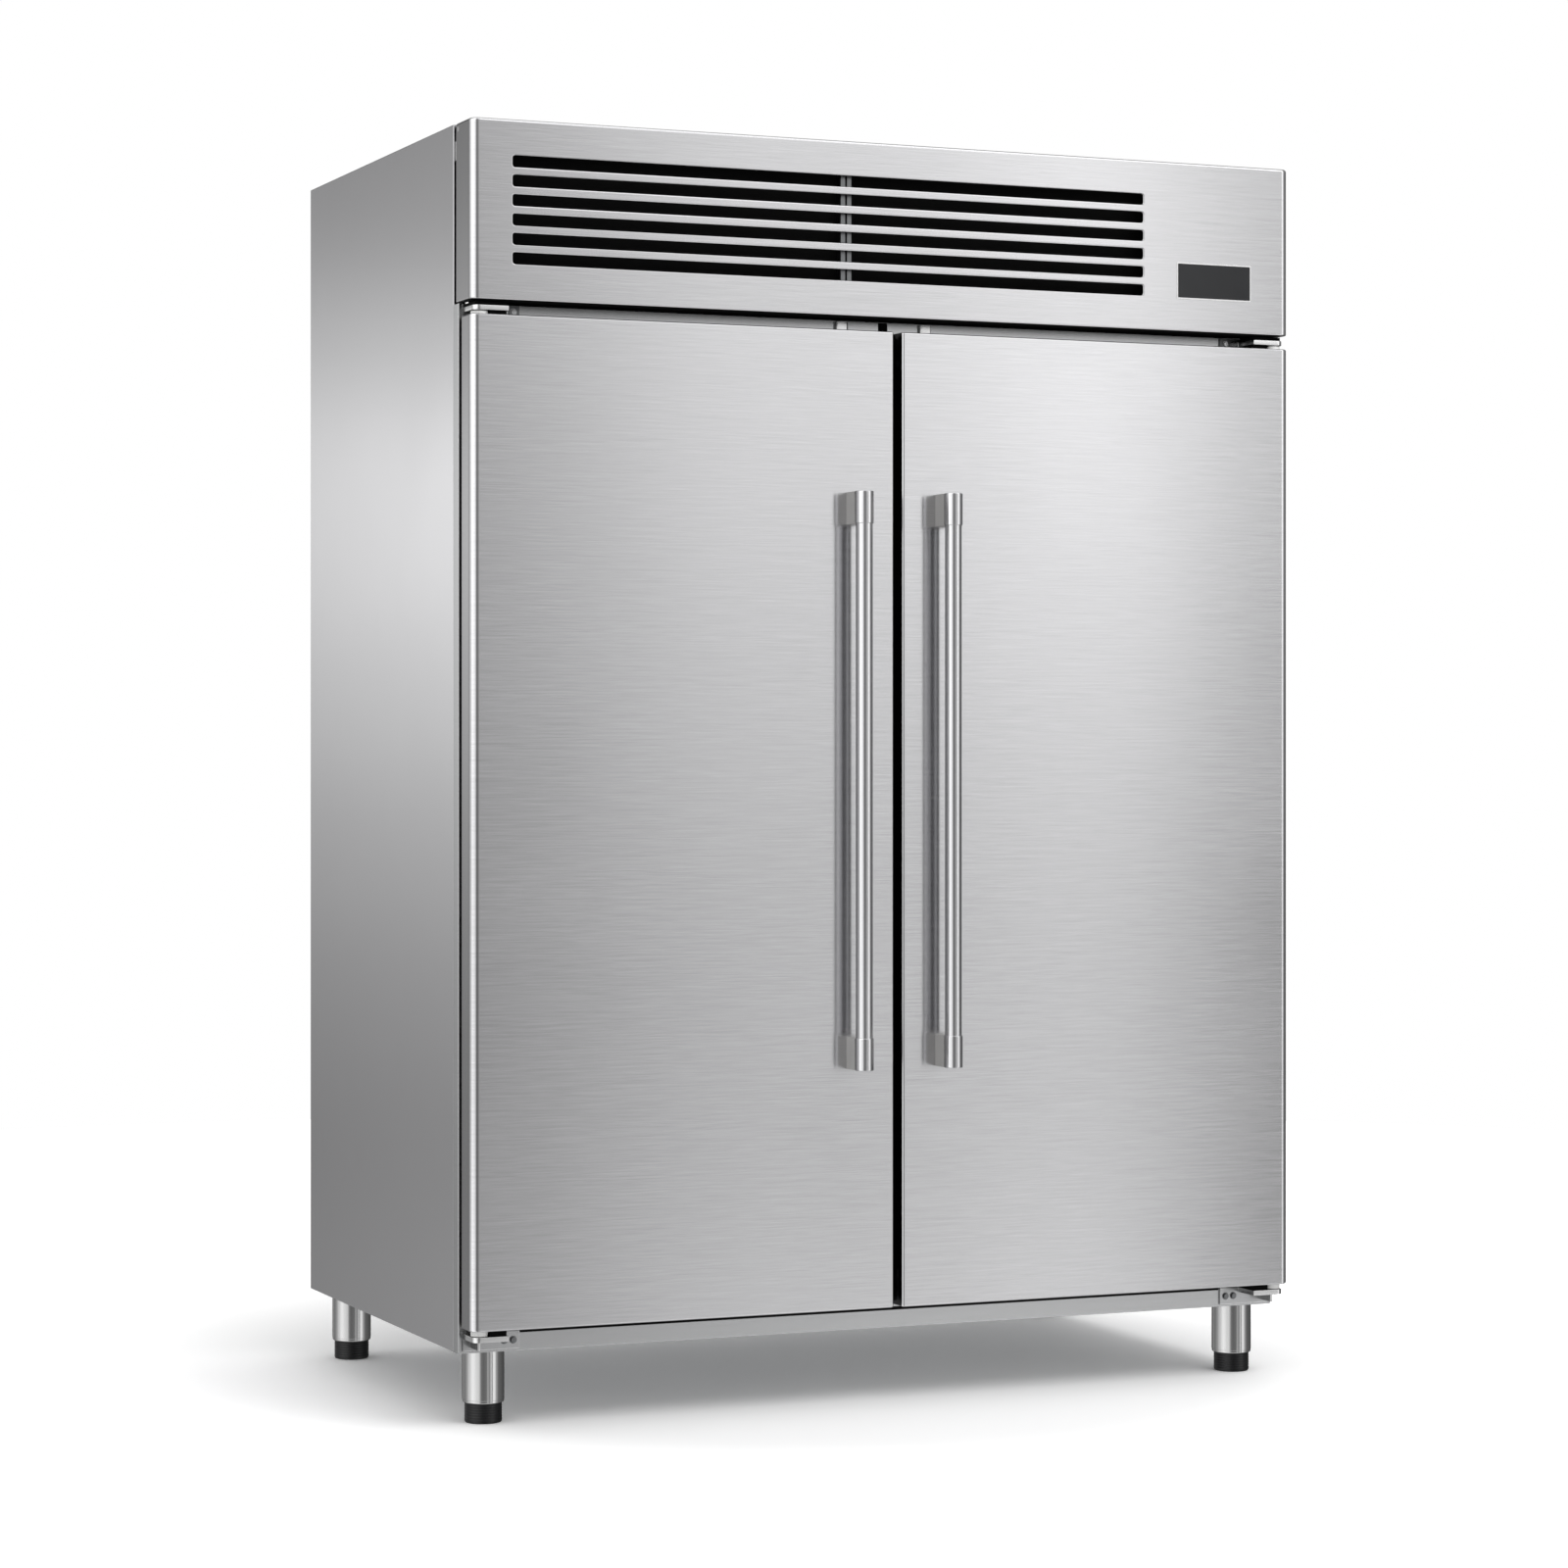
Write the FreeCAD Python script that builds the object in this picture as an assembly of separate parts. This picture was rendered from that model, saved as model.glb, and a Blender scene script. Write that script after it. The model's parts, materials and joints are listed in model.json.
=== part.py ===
import FreeCAD, Part
import math
import os

# Two-door upright freezer on four adjustable feet.
# Sizes are millimetres. X runs across from the middle of the cabinet, Z up from the floor.
# Depths are written from the front face of the doors backwards, and the whole
# model is moved at the end so that its origin is the middle of its footprint.

V = FreeCAD.Vector

# Whole cabinet
body_width = 1400.0
body_depth = 840.0
cabinet_height = 1850.0
leg_height = 110.0
fascia_height = 270.0
fascia_gap = 22.0
door_rise = 40.0
door_gap = 14.0
door_thickness = 46.0
gasket_space = 14.0
frame_depth = 23.0
frame_top_clearance = 2.0
side_wall = 75.0
back_wall = 75.0
floor_wall = 90.0
roof_wall = 70.0

# Sheet metal
skin_sheet = 1.0
frame_sheet = 1.2
skin_fold = 18.0
overrun = 5.0
touch_gap = 0.3
running_fit = 0.05

# Liner and the opening
liner_corner = 18.0
strip_width = 12.0
strip_sheet = 2.5

# Middle post behind the gap between the doors
post_face_width = 120.0
post_face_sheet = 6.0
post_web_width = 70.0
post_web_sheet = 1.5
post_depth = 70.0
post_plate_sheet = 2.5
post_plate_gap = 16.0
post_plate_height = 24.0
post_plate_drop = 2.0

# Door pans
hinge_corner = 14.0
free_corner = 4.0
door_back_sheet = 2.0
door_back_inset = 2.0
door_panel_inset = 66.0
door_panel_rise = 9.0
door_panel_corner = 30.0
door_panel_sheet = 1.5

# Door gaskets
gasket_inset = 24.0
gasket_width = 20.0
gasket_foot = 4.0
gasket_neck = 3.0
gasket_neck_inset = 5.0
gasket_lip_inset = 1.5

# Hinges
axis_inset = 20.0
axis_depth = 22.0
hinge_pin = 12.0
hinge_pin_length = 26.0
hinge_sheet = 8.0
hinge_reach_inset = 6.0
hinge_width = 56.0
hinge_side_inset = 6.0
hinge_corner_cut = 12.0
top_hinge_lift = 6.0
bottom_hinge_drop = 9.0
base_plate_sheet = 3.0
base_plate_width = 90.0
base_plate_height = 27.0
rib_sheet = 4.0
rib_height = 14.0
bush_outer = 20.0
bush_flange = 26.0
bush_flange_play = 1.0
bush_floor = 3.0

# Handles
handle_tube = 26.0
handle_bore = 22.0
handle_sleeve = 29.0
handle_stand_off = 40.0
handle_bottom_z = 524.0
handle_length = 892.0
handle_from_middle = 76.0
handle_post_width = 25.0
handle_post_height = 50.0
handle_end_cap = 2.0

# Fascia
fascia_return = 70.0
fascia_bottom_return = 30.0
fascia_top_corner = 4.5
slot_count = 6
slot_left = 66.0
slot_to_display = 63.0
slot_height = 17.3
slot_pitch = 28.95
slot_corner = 4.0
slot_drop = 54.0
slot_lip = 5.0
display_width = 131.5
display_height = 54.0
display_from_right = 73.5
display_rise = 53.5
display_glass = 2.0
controller_border = 8.0
controller_depth = 42.0
strap_width = 18.0
strap_from_left = 608.0
strap_depth = 14.0
strap_set_back = 20.0
strap_groove = 3.0
flap_axis_depth = 62.0
flap_axis_drop = 10.0
flap_pin = 8.0
flap_arm_sheet = 3.0
flap_arm_side_gap = 1.0
flap_arm_half_width = 6.0
flap_arm_top = 5.5
flap_arm_bottom = 45.0
flap_arm_step = 16.0

# Legs and feet
leg_tube = 64.0
leg_wall = 3.0
leg_from_side = 52.0
leg_from_front = 97.0
leg_from_back = 66.0
foot_show = 31.0
foot_diameter = 57.0
foot_height = 45.0
foot_screw = 16.0
foot_screw_top = 96.0
leg_web_rise = 14.0

# Machine space behind the fascia
cover_fold = 20.0
grille_recess = 14.0
vent_rows = 7
vent_length = 560.0
vent_height = 9.0
vent_pitch = 26.0
vent_rise = 62.0
vent_margin = 18.0
gland_hex = 22.0
gland_nut = 3.0
gland_length = 12.0
gland_bore = 9.0
gland_from_side = 60.0
gland_rise = 40.0
coil_from_middle = 330.0
coil_width = 420.0
coil_height = 200.0
coil_depth = 66.0
coil_set_back = 120.0
coil_foot = 16.0
coil_plate = 2.0
fin_count = 18
fin_slot_share = 0.46
fin_gap_share = 0.62
shroud_depth = 60.0
shroud_sheet = 1.5
cond_fan_diameter = 184.0
cond_fan_play = 4.0
cond_fan_depth = 24.0
cond_fan_hub = 56.0
fan_blades = 5
hub_bite = 2.0
blade_sheet = 1.6
root_chord_share = 1.4
tip_chord_share = 2.1
blade_pitch = 24.0
motor_shaft = 6.0
cond_motor_diameter = 78.0
cond_motor_length = 62.0
motor_stand_width = 60.0
motor_stand_sheet = 3.0
motor_gap = 4.0
comp_from_middle = 150.0
comp_set_back = 380.0
comp_radius = 88.0
comp_height = 190.0
comp_dome = 34.0
comp_base_width = 210.0
comp_base_depth = 150.0
comp_base_sheet = 4.0
comp_foot = 34.0
comp_foot_height = 18.0
comp_foot_inset = 22.0
comp_box_width = 62.0
comp_box_depth = 34.0
comp_box_height = 70.0
comp_stub_inset = 40.0
comp_stub = 15.0
comp_stub_rise = 6.0
comp_dome_share = 0.62
pipe = 10.0
pipe_bend = 26.0
pipe_rise = 34.0
pipe_coil_inset = 30.0
pipe_coil_reach = 56.0
suction_reach = 150.0
capillary_reach = 55.0
drier_diameter = 26.0
drier_length = 110.0
drier_from_middle = 60.0
drier_from_back = 220.0
drier_lift = 18.0
drier_saddle = 14.0
control_box_width = 210.0
control_box_depth = 150.0
control_box_height = 120.0
control_box_from_side = 220.0
control_box_set_back = 300.0
control_lid = 14.0
control_lid_lap = 2.0
tray_width = 300.0
tray_depth = 190.0
tray_height = 34.0
tray_wall = 2.0
tray_from_middle = 330.0
tray_from_back = 130.0

# Evaporator under the liner roof
evap_side_gap = 105.0
evap_front_gap = 217.0
evap_back_gap = 45.0
evap_height = 178.0
evap_sheet = 1.2
evap_back_lip = 20.0
evap_coil_side_gap = 50.0
evap_fan_space = 190.0
evap_coil_height = 120.0
evap_coil_back_gap = 30.0
evap_coil_drop = 14.0
evap_fin_count = 20
evap_fan_diameter = 150.0
evap_fan_play = 6.0
evap_fan_depth = 20.0
evap_fan_hub = 46.0
evap_fan_back = 8.0
evap_motor_diameter = 64.0
evap_motor_length = 46.0
evap_bar_width = 34.0
evap_bar_sheet = 3.0
guard_sheet = 2.0
guard_ring = 4.0
guard_rings = 0
guard_bar = 5.0
guard_stand = 6.0
guard_leg = 7.0
drip_margin = 16.0
drip_wall = 1.5
drip_height = 24.0

# Shelves and their supports
wall_post_sheet = 12.0
middle_post_sheet = 24.0
shelf_post_width = 28.0
shelf_post_front_gap = 97.0
shelf_post_back_gap = 65.0
shelf_post_top_gap = 12.0
post_slot_width = 8.0
post_slot_height = 14.0
post_slot_pitch = 155.0
post_slot_rise = 60.0
post_slot_depth = 5.0
clip_reach = 36.0
clip_sheet = 3.0
clip_width = 20.0
clip_drop = 12.0
shelf_levels = 3
first_shelf_rise = 300.0
shelf_pitch = 310.0
shelf_side_gap = 24.0
shelf_front_gap = 55.0
shelf_back_gap = 17.0
shelf_sheet = 6.0
shelf_rim = 8.0
shelf_wire = 5.0
shelf_wires = 9
shelf_brace = 8.0
shelf_brace_inset = 200.0

# Door switches beside the middle post's head plate
switch_width = 18.0
switch_height = 20.0
switch_depth = 8.0
switch_side_gap = 3.0
switch_edge = 1.5

# Levels and planes worked out from the sizes above
half_width = body_width / 2
base_z = leg_height
top_z = base_z + cabinet_height
fascia_z = top_z - fascia_height
door_top_z = fascia_z - fascia_gap
door_bottom_z = base_z + door_rise
box_top_z = fascia_z - frame_top_clearance
frame_y = door_thickness + gasket_space
side_y = frame_y + frame_depth
inner_x = half_width - side_wall
inner_floor_z = base_z + floor_wall
inner_roof_z = box_top_z - roof_wall
inner_back_y = body_depth - back_wall
handle_reach = handle_stand_off + handle_sleeve / 2
shift_y = (handle_reach - body_depth) / 2
door_width = half_width - door_gap / 2


def box(x0, x1, y0, y1, z0, z1):
    return Part.makeBox(x1 - x0, y1 - y0, z1 - z0, V(x0, y0, z0))


def rod(diameter, length, x, y, z, along):
    return Part.makeCylinder(diameter / 2, length, V(x, y, z), along)


def up(*a):
    return rod(*a, V(0, 0, 1))


def back(*a):
    return rod(*a, V(0, 1, 0))


def across(*a):
    return rod(*a, V(1, 0, 0))


def fused(first, *others):
    shape = first.fuse(list(others)) if others else first
    return shape.removeSplitter()


def mirrored(shape):
    return shape.mirror(V(0, 0, 0), V(1, 0, 0))


def on_side(shape, side):
    """A piece drawn on the left, or its mirror image on the right."""
    return shape if side == "left" else mirrored(shape)


def window(x0, x1, z0, z1, corner, y0, y1):
    """A block with rounded corners, seen from the front, between two depths."""
    block = box(x0, x1, y0, y1, z0, z1)
    if corner <= 0:
        return block
    edges = [e for e in block.Edges if e.BoundBox.XLength + e.BoundBox.ZLength < skin_sheet / 2]
    return block.makeFillet(corner, edges)


def save(name, *solids):
    shape = solids[0] if len(solids) == 1 else Part.makeCompound(list(solids))
    shape = shape.copy()
    shape.translate(V(0, shift_y, 0))
    for solid in shape.Solids:
        if not solid.isValid():
            print("not valid:", name)
    shape.exportStep("parts/" + name + ".step")
    print(name, len(shape.Solids), "solids, %.0f cm3" % (shape.Volume / 1000))


# Cabinet body

def side_skin():
    """Left side panel with its four folded edges."""
    x0 = -half_width
    x1 = x0 + skin_sheet
    fold = x1 + skin_fold
    plate = box(x0, x1, side_y, body_depth, base_z, top_z)
    front = box(x1, fold, side_y, side_y + skin_sheet, base_z, top_z)
    rear = box(x1, fold, body_depth - skin_sheet, body_depth, base_z, top_z)
    y0 = side_y + skin_sheet
    y1 = body_depth - skin_sheet
    foot = box(x1, fold, y0, y1, base_z, base_z + skin_sheet)
    head = box(x1, fold, y0, y1, top_z - skin_sheet, top_z)
    return fused(plate, front, rear, foot, head)


between_folds = half_width - skin_sheet - skin_fold
skin_in_x = half_width - skin_sheet
skin_in_y = body_depth - skin_sheet
gland_x = half_width - gland_from_side


def back_skin():
    return box(-between_folds, between_folds, skin_in_y, body_depth, base_z, box_top_z)


def bottom_skin():
    y0 = side_y + skin_sheet
    return box(-between_folds, between_folds, y0, skin_in_y, base_z, base_z + skin_sheet)


def deck_skin():
    y0 = side_y + skin_sheet
    return box(-skin_in_x, skin_in_x, y0, skin_in_y, box_top_z - skin_sheet, box_top_z)


def opening(grow, y0, y1):
    """The mouth of the cabinet, grown outwards, between two depths."""
    corner = liner_corner + grow
    x = inner_x + grow
    return window(-x, x, inner_floor_z - grow, inner_roof_z + grow, corner, y0, y1)


def tub(grow):
    """The inside space with rounded long corners, grown outwards by a wall."""
    return opening(grow, side_y, inner_back_y - skin_sheet + grow)


def liner():
    return tub(skin_sheet).cut(tub(0))


def front_frame():
    """Folded frame round the mouth, with a pocket behind its face."""
    lip = opening(strip_width, frame_y - overrun, side_y + overrun)
    block = box(-half_width, half_width, frame_y, side_y, base_z, box_top_z)
    edge = frame_sheet
    inner = box(-half_width + edge, half_width - edge, frame_y + edge, side_y + overrun,
                base_z + edge, box_top_z - edge)
    wall = opening(strip_width + edge, frame_y, side_y + overrun)
    pocket = inner.cut(wall)
    return block.cut(lip).cut(pocket)


def breaker_strip():
    """Plastic strip that lines the mouth between the steel frame and the liner."""
    face = opening(strip_width, frame_y, frame_y + strip_sheet)
    wall = opening(strip_sheet, frame_y, side_y)
    hole = opening(0, frame_y - overrun, side_y + overrun)
    return fused(face, wall).cut(hole)


def insulation(frame, strip, sides):
    """Foam that fills the walls between the skins, the frame and the liner."""
    edge = frame_sheet
    front = box(-half_width + edge, half_width - edge, frame_y + edge, side_y,
                base_z + edge, box_top_z - edge)
    main = box(-skin_in_x, skin_in_x, side_y, skin_in_y, base_z + skin_sheet, box_top_z - skin_sheet)
    foam = front.fuse(main)
    foam = foam.cut(opening(0, frame_y - overrun, side_y + overrun))
    foam = foam.cut(tub(skin_sheet))
    for piece in [frame, strip] + sides:
        foam = foam.cut(piece)
    return foam.removeSplitter()


def post_block(inset):
    """The post's box behind its face, inset by a wall."""
    half = post_web_width / 2 - inset
    return box(-half, half, frame_y + post_face_sheet + inset, frame_y + post_depth - inset,
               inner_floor_z, inner_roof_z)


def middle_post():
    """Folded post behind the gap, where both gaskets close; foam fills its box."""
    face = box(-post_face_width / 2, post_face_width / 2, frame_y, frame_y + post_face_sheet,
               inner_floor_z, inner_roof_z)
    return fused(face, post_block(0).cut(post_block(post_web_sheet)))


def post_head_plates():
    """Two plates over the post, one above each door's free edge."""
    top = box_top_z - post_plate_drop
    left = box(-post_face_width / 2, -post_plate_gap / 2, frame_y - post_plate_sheet, frame_y,
               top - post_plate_height, top)
    return left, mirrored(left)


def door_switches():
    """Two reed switch housings beside the head plate."""
    x1 = -post_face_width / 2 - switch_side_gap
    top = box_top_z - post_plate_drop
    left = box(x1 - switch_width, x1, frame_y - switch_depth, frame_y, top - switch_height, top)
    front = [e for e in left.Edges if e.BoundBox.YMax < frame_y - switch_depth / 2]
    left = left.makeChamfer(switch_edge, front)
    return left, mirrored(left)


# Machine space

def top_cover():
    y0 = side_y + skin_sheet
    y1 = skin_in_y
    x = between_folds
    plate = box(-x, x, y0, y1, top_z - skin_sheet, top_z)
    drop = top_z - skin_sheet - cover_fold
    front = box(-x, x, y0, y0 + skin_sheet, drop, top_z - skin_sheet)
    rear = box(-x, x, y1 - skin_sheet, y1, drop, top_z - skin_sheet)
    return fused(plate, front, rear)


def back_grille():
    """Set-in rear panel with rows of vents and the hole for the cable gland."""
    x = between_folds
    y0 = body_depth - skin_sheet - grille_recess
    y1 = y0 + skin_sheet
    z1 = top_z - skin_sheet - cover_fold
    plate = box(-x, x, y0, y1, box_top_z, z1)
    rim_back = body_depth - skin_sheet
    foot = box(-x, x, y1, rim_back, box_top_z, box_top_z + skin_sheet)
    left = box(-x, -x + skin_sheet, y1, rim_back, box_top_z + skin_sheet, z1)
    panel = fused(plate, foot, left, mirrored(left))
    for row in range(vent_rows):
        z = box_top_z + vent_rise + row * vent_pitch
        for side in ("left", "right"):
            x0 = -vent_length - vent_margin
            vent = box(x0, -vent_margin, y0 - overrun, y1 + overrun, z, z + vent_height)
            panel = panel.cut(on_side(vent, side))
    hole = back(gland_hex / 2, skin_sheet + 2 * overrun, gland_x, y0 - overrun,
                box_top_z + gland_rise)
    return panel.cut(hole)


def nut_block(thick, y, z):
    """Hexagonal block at the gland's place."""
    ring = []
    for corner in range(7):
        turn = corner * math.pi / 3
        ring.append(V(math.cos(turn), 0, math.sin(turn)) * (gland_hex / math.sqrt(3)))
    block = Part.Face(Part.makePolygon(ring)).extrude(V(0, thick, 0))
    block.translate(V(gland_x, y, z))
    return block


def cable_gland():
    """Inlet for the supply cord, sunk behind the rear face."""
    y0 = body_depth - skin_sheet - grille_recess
    z = box_top_z + gland_rise
    nut = nut_block(gland_length - skin_sheet, y0 + skin_sheet, z)
    stem = back(gland_hex / 2, gland_length, gland_x, y0 - gland_length + skin_sheet, z)
    lock = nut_block(gland_nut, y0 - gland_nut, z)
    bore = back(gland_bore, 2 * gland_length + 2 * overrun, gland_x,
                y0 - gland_length - overrun, z)
    return fused(nut, stem, lock).cut(bore)


def finned_coil(x0, x1, y0, y1, z0, z1, fins, foot_z, head_z):
    """Fin pack cut from both faces, between two end plates that carry it."""
    pack = box(x0, x1, y0, y1, z0, z1)
    pitch = (x1 - x0) / fins
    gap = pitch * fin_gap_share
    deep = (y1 - y0) * fin_slot_share
    cuts = []
    for i in range(fins):
        x = x0 + (i + (1 - fin_gap_share) / 2) * pitch
        cuts.append(box(x, x + gap, y0 - overrun, y0 + deep, z0 - overrun, z1 + overrun))
        cuts.append(box(x, x + gap, y1 - deep, y1 + overrun, z0 - overrun, z1 + overrun))
    pack = pack.cut(Part.makeCompound(cuts))
    left = box(x0 - coil_plate, x0, y0, y1, foot_z, head_z)
    right = box(x1, x1 + coil_plate, y0, y1, foot_z, head_z)
    return pack.fuse([left, right]).removeSplitter()


coil_x0 = -coil_from_middle - coil_width / 2
coil_x1 = -coil_from_middle + coil_width / 2
coil_z0 = box_top_z + coil_foot
coil_z1 = coil_z0 + coil_height
coil_y1 = coil_set_back + coil_depth
coil_mid_z = (coil_z0 + coil_z1) / 2


def condenser_coil():
    return finned_coil(coil_x0, coil_x1, coil_set_back, coil_y1, coil_z0, coil_z1, fin_count,
                       box_top_z, coil_z1)


def condenser_shroud():
    """Sheet box behind the coil with a round outlet for the fan."""
    y1 = coil_y1 + shroud_depth
    s = shroud_sheet
    case = box(coil_x0, coil_x1, coil_y1, y1, box_top_z, coil_z1)
    case = case.cut(box(coil_x0 + s, coil_x1 - s, coil_y1 - overrun, y1 - s, box_top_z + s, coil_z1 - s))
    hole = back(cond_fan_diameter + 2 * cond_fan_play, shroud_sheet + 2 * overrun,
                -coil_from_middle, y1 - s - overrun, coil_mid_z)
    return case.cut(hole)


def fan_wheel(diameter, depth, hub, x, y, z):
    """Hub with flat pitched blades that widen towards their tips."""
    wheel = back(hub, depth, x, y, z)
    root = hub / 2 - hub_bite
    tip = math.sqrt(diameter * diameter / 4 - depth * depth)
    for i in range(fan_blades):
        blade = fan_blade(root, tip, depth)
        blade.rotate(V(0, 0, 0), V(0, 1, 0), 360.0 / fan_blades * i)
        blade.translate(V(x, y + depth / 2, z))
        wheel = wheel.fuse(blade)
    bore = back(motor_shaft + 2 * running_fit, depth + 2 * overrun, x, y - overrun, z)
    return wheel.cut(bore).removeSplitter()


def fan_blade(root, tip, depth):
    """One flat blade along Z, turned by its pitch out of the plane of the wheel."""
    inner = depth * root_chord_share / 2
    outer = depth * tip_chord_share / 2
    t = blade_sheet / 2
    points = [V(-inner, -t, root), V(inner, -t, root), V(outer, -t, tip), V(-outer, -t, tip)]
    blade = Part.Face(Part.makePolygon(points + points[:1])).extrude(V(0, blade_sheet, 0))
    blade.rotate(V(0, 0, 0), V(0, 0, 1), blade_pitch)
    return blade


cond_fan_y = coil_y1 + shroud_depth - cond_fan_depth


def condenser_fan():
    return fan_wheel(cond_fan_diameter, cond_fan_depth, cond_fan_hub, -coil_from_middle,
                     cond_fan_y, coil_mid_z)


def condenser_fan_motor():
    y0 = cond_fan_y + cond_fan_depth + motor_gap
    x = -coil_from_middle
    body = back(cond_motor_diameter, cond_motor_length, x, y0, coil_mid_z)
    shaft = back(motor_shaft, y0 - cond_fan_y, x, cond_fan_y, coil_mid_z)
    y1 = y0 + cond_motor_length
    stand = box(x - motor_stand_width / 2, x + motor_stand_width / 2, y1, y1 + motor_stand_sheet,
                box_top_z, coil_mid_z + cond_motor_diameter / 4)
    foot = box(x - motor_stand_width / 2, x + motor_stand_width / 2, y1 + motor_stand_sheet,
               y1 + motor_stand_width, box_top_z, box_top_z + motor_stand_sheet)
    return fused(body, shaft, stand, foot)


def turned(points, x, y, z):
    """A round piece about a vertical line, from radius and height pairs."""
    wire = Part.makePolygon([V(r, 0, h) for r, h in points + points[:1]])
    shape = Part.Face(wire).revolve(V(0, 0, 0), V(0, 0, 1), 360)
    shape.translate(V(x, y, z))
    return shape


comp_x = comp_from_middle
comp_y = comp_set_back
comp_shell_z = box_top_z + comp_foot_height + comp_base_sheet
drier_y = body_depth - drier_from_back
drier_z = box_top_z + drier_lift + drier_diameter / 2


def compressor():
    """Sealed compressor shell on a base plate with four rubber feet."""
    wall = comp_height - comp_dome
    points = [(0, 0), (comp_radius, 0), (comp_radius, wall),
              (comp_radius * comp_dome_share, comp_height), (0, comp_height)]
    shell = turned(points, comp_x, comp_y, comp_shell_z)
    base_z0 = box_top_z + comp_foot_height
    base = box(comp_x - comp_base_width / 2, comp_x + comp_base_width / 2,
               comp_y - comp_base_depth / 2, comp_y + comp_base_depth / 2, base_z0, comp_shell_z)
    feet = []
    for sx in (-1, 1):
        for sy in (-1, 1):
            x = comp_x + sx * (comp_base_width / 2 - comp_foot_inset)
            y = comp_y + sy * (comp_base_depth / 2 - comp_foot_inset)
            half = comp_foot / 2
            feet.append(box(x - half, x + half, y - half, y + half, box_top_z, base_z0))
    relay = box(comp_x + comp_radius - comp_box_depth / 2, comp_x + comp_radius + comp_box_depth / 2,
                comp_y - comp_box_width / 2, comp_y + comp_box_width / 2,
                comp_shell_z + comp_dome, comp_shell_z + comp_dome + comp_box_height)
    stubs = []
    for sign in (-1, 1):
        stubs.append(up(comp_stub, comp_dome + comp_stub_rise, comp_x + sign * comp_stub_inset,
                        comp_y + sign * comp_stub_inset, comp_shell_z + wall))
    return fused(shell, base, relay, *feet, *stubs)


def pipe_run(points):
    """Round pipe along straight runs, with each bend cut as one short mitred piece."""
    route = [points[0]]
    for i in range(1, len(points) - 1):
        for other in (points[i - 1], points[i + 1]):
            route.append(points[i] + (other - points[i]).normalize() * pipe_bend)
    route.append(points[-1])
    tangent = (route[1] - route[0]).normalize()
    section = Part.Wire(Part.makeCircle(pipe / 2, route[0], tangent))
    return Part.makePolygon(route).makePipeShell([section], True, False, 1)


def refrigerant_pipes():
    """Hot gas pipe, liquid pipe to the drier, capillary into the deck and suction pipe."""
    start = comp_shell_z + comp_height + comp_stub_rise
    high = start + pipe_rise
    hot_x = comp_x - comp_stub_inset
    hot_y = comp_y - comp_stub_inset
    coil_y = coil_set_back + coil_depth / 2
    end_x = coil_x1 + coil_plate
    turn_x = end_x + pipe_coil_reach
    inlet_z = coil_z1 - pipe_coil_inset
    hot = pipe_run([V(hot_x, hot_y, start), V(hot_x, hot_y, high), V(hot_x, coil_y, high),
                    V(turn_x, coil_y, high), V(turn_x, coil_y, inlet_z), V(end_x, coil_y, inlet_z)])
    drier_x0 = drier_from_middle - drier_length / 2 - pipe
    liquid = pipe_run([V(end_x, coil_y, drier_z), V(turn_x, coil_y, drier_z),
                       V(turn_x, drier_y, drier_z), V(drier_x0, drier_y, drier_z)])
    drier_x1 = drier_from_middle + drier_length / 2 + pipe
    fall_x = drier_x1 + capillary_reach
    capillary = pipe_run([V(drier_x1, drier_y, drier_z), V(fall_x, drier_y, drier_z),
                          V(fall_x, drier_y, box_top_z)])
    suction_x = comp_x + comp_stub_inset
    suction_y = comp_y + comp_stub_inset
    fall_y = suction_y + suction_reach
    suction = pipe_run([V(suction_x, suction_y, start), V(suction_x, suction_y, high),
                        V(suction_x, fall_y, high), V(suction_x, fall_y, box_top_z)])
    return hot, liquid, capillary, suction


def filter_drier():
    """Copper drier on a saddle that stands on the deck."""
    z = drier_z
    x0 = drier_from_middle - drier_length / 2
    body = across(drier_diameter, drier_length, x0, drier_y, z)
    cone = Part.makeCone(drier_diameter / 2, pipe / 2, pipe, V(x0 + drier_length, drier_y, z),
                         V(1, 0, 0))
    other = Part.makeCone(drier_diameter / 2, pipe / 2, pipe, V(x0, drier_y, z), V(-1, 0, 0))
    saddle = box(drier_from_middle - drier_saddle / 2, drier_from_middle + drier_saddle / 2,
                 drier_y - drier_diameter / 2, drier_y + drier_diameter / 2,
                 box_top_z, z)
    return fused(body, cone, other, saddle)


def electrical_box():
    x1 = half_width - control_box_from_side + control_box_width / 2
    x0 = x1 - control_box_width
    y0 = control_box_set_back
    y1 = y0 + control_box_depth
    z1 = box_top_z + control_box_height
    case = box(x0, x1, y0, y1, box_top_z, z1 - control_lid)
    lap = control_lid_lap
    lid = box(x0 - lap, x1 + lap, y0 - lap, y1 + lap, z1 - control_lid, z1)
    shape = fused(case, lid)
    edges = [e for e in shape.Edges if e.BoundBox.ZLength > control_lid / 2]
    return shape.makeFillet(lap, edges)


def open_tray(x0, x1, y0, y1, z0, height, wall):
    """Shallow open tray with leaning sides."""
    lean = wall * 2
    outer = Part.makeLoft([rectangle(x0 + lean, x1 - lean, y0 + lean, y1 - lean, z0),
                           rectangle(x0, x1, y0, y1, z0 + height)], True, True)
    inner = Part.makeLoft([rectangle(x0 + lean + wall, x1 - lean - wall, y0 + lean + wall,
                                     y1 - lean - wall, z0 + wall),
                           rectangle(x0 + wall, x1 - wall, y0 + wall, y1 - wall,
                                     z0 + height)], True, True)
    return outer.cut(inner)


def rectangle(x0, x1, y0, y1, z):
    return Part.makePolygon([V(x0, y0, z), V(x1, y0, z), V(x1, y1, z), V(x0, y1, z), V(x0, y0, z)])


def condensate_tray():
    x = -tray_from_middle
    y1 = body_depth - tray_from_back
    return open_tray(x - tray_width / 2, x + tray_width / 2, y1 - tray_depth, y1, box_top_z,
                     tray_height, tray_wall)


# Evaporator

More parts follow.
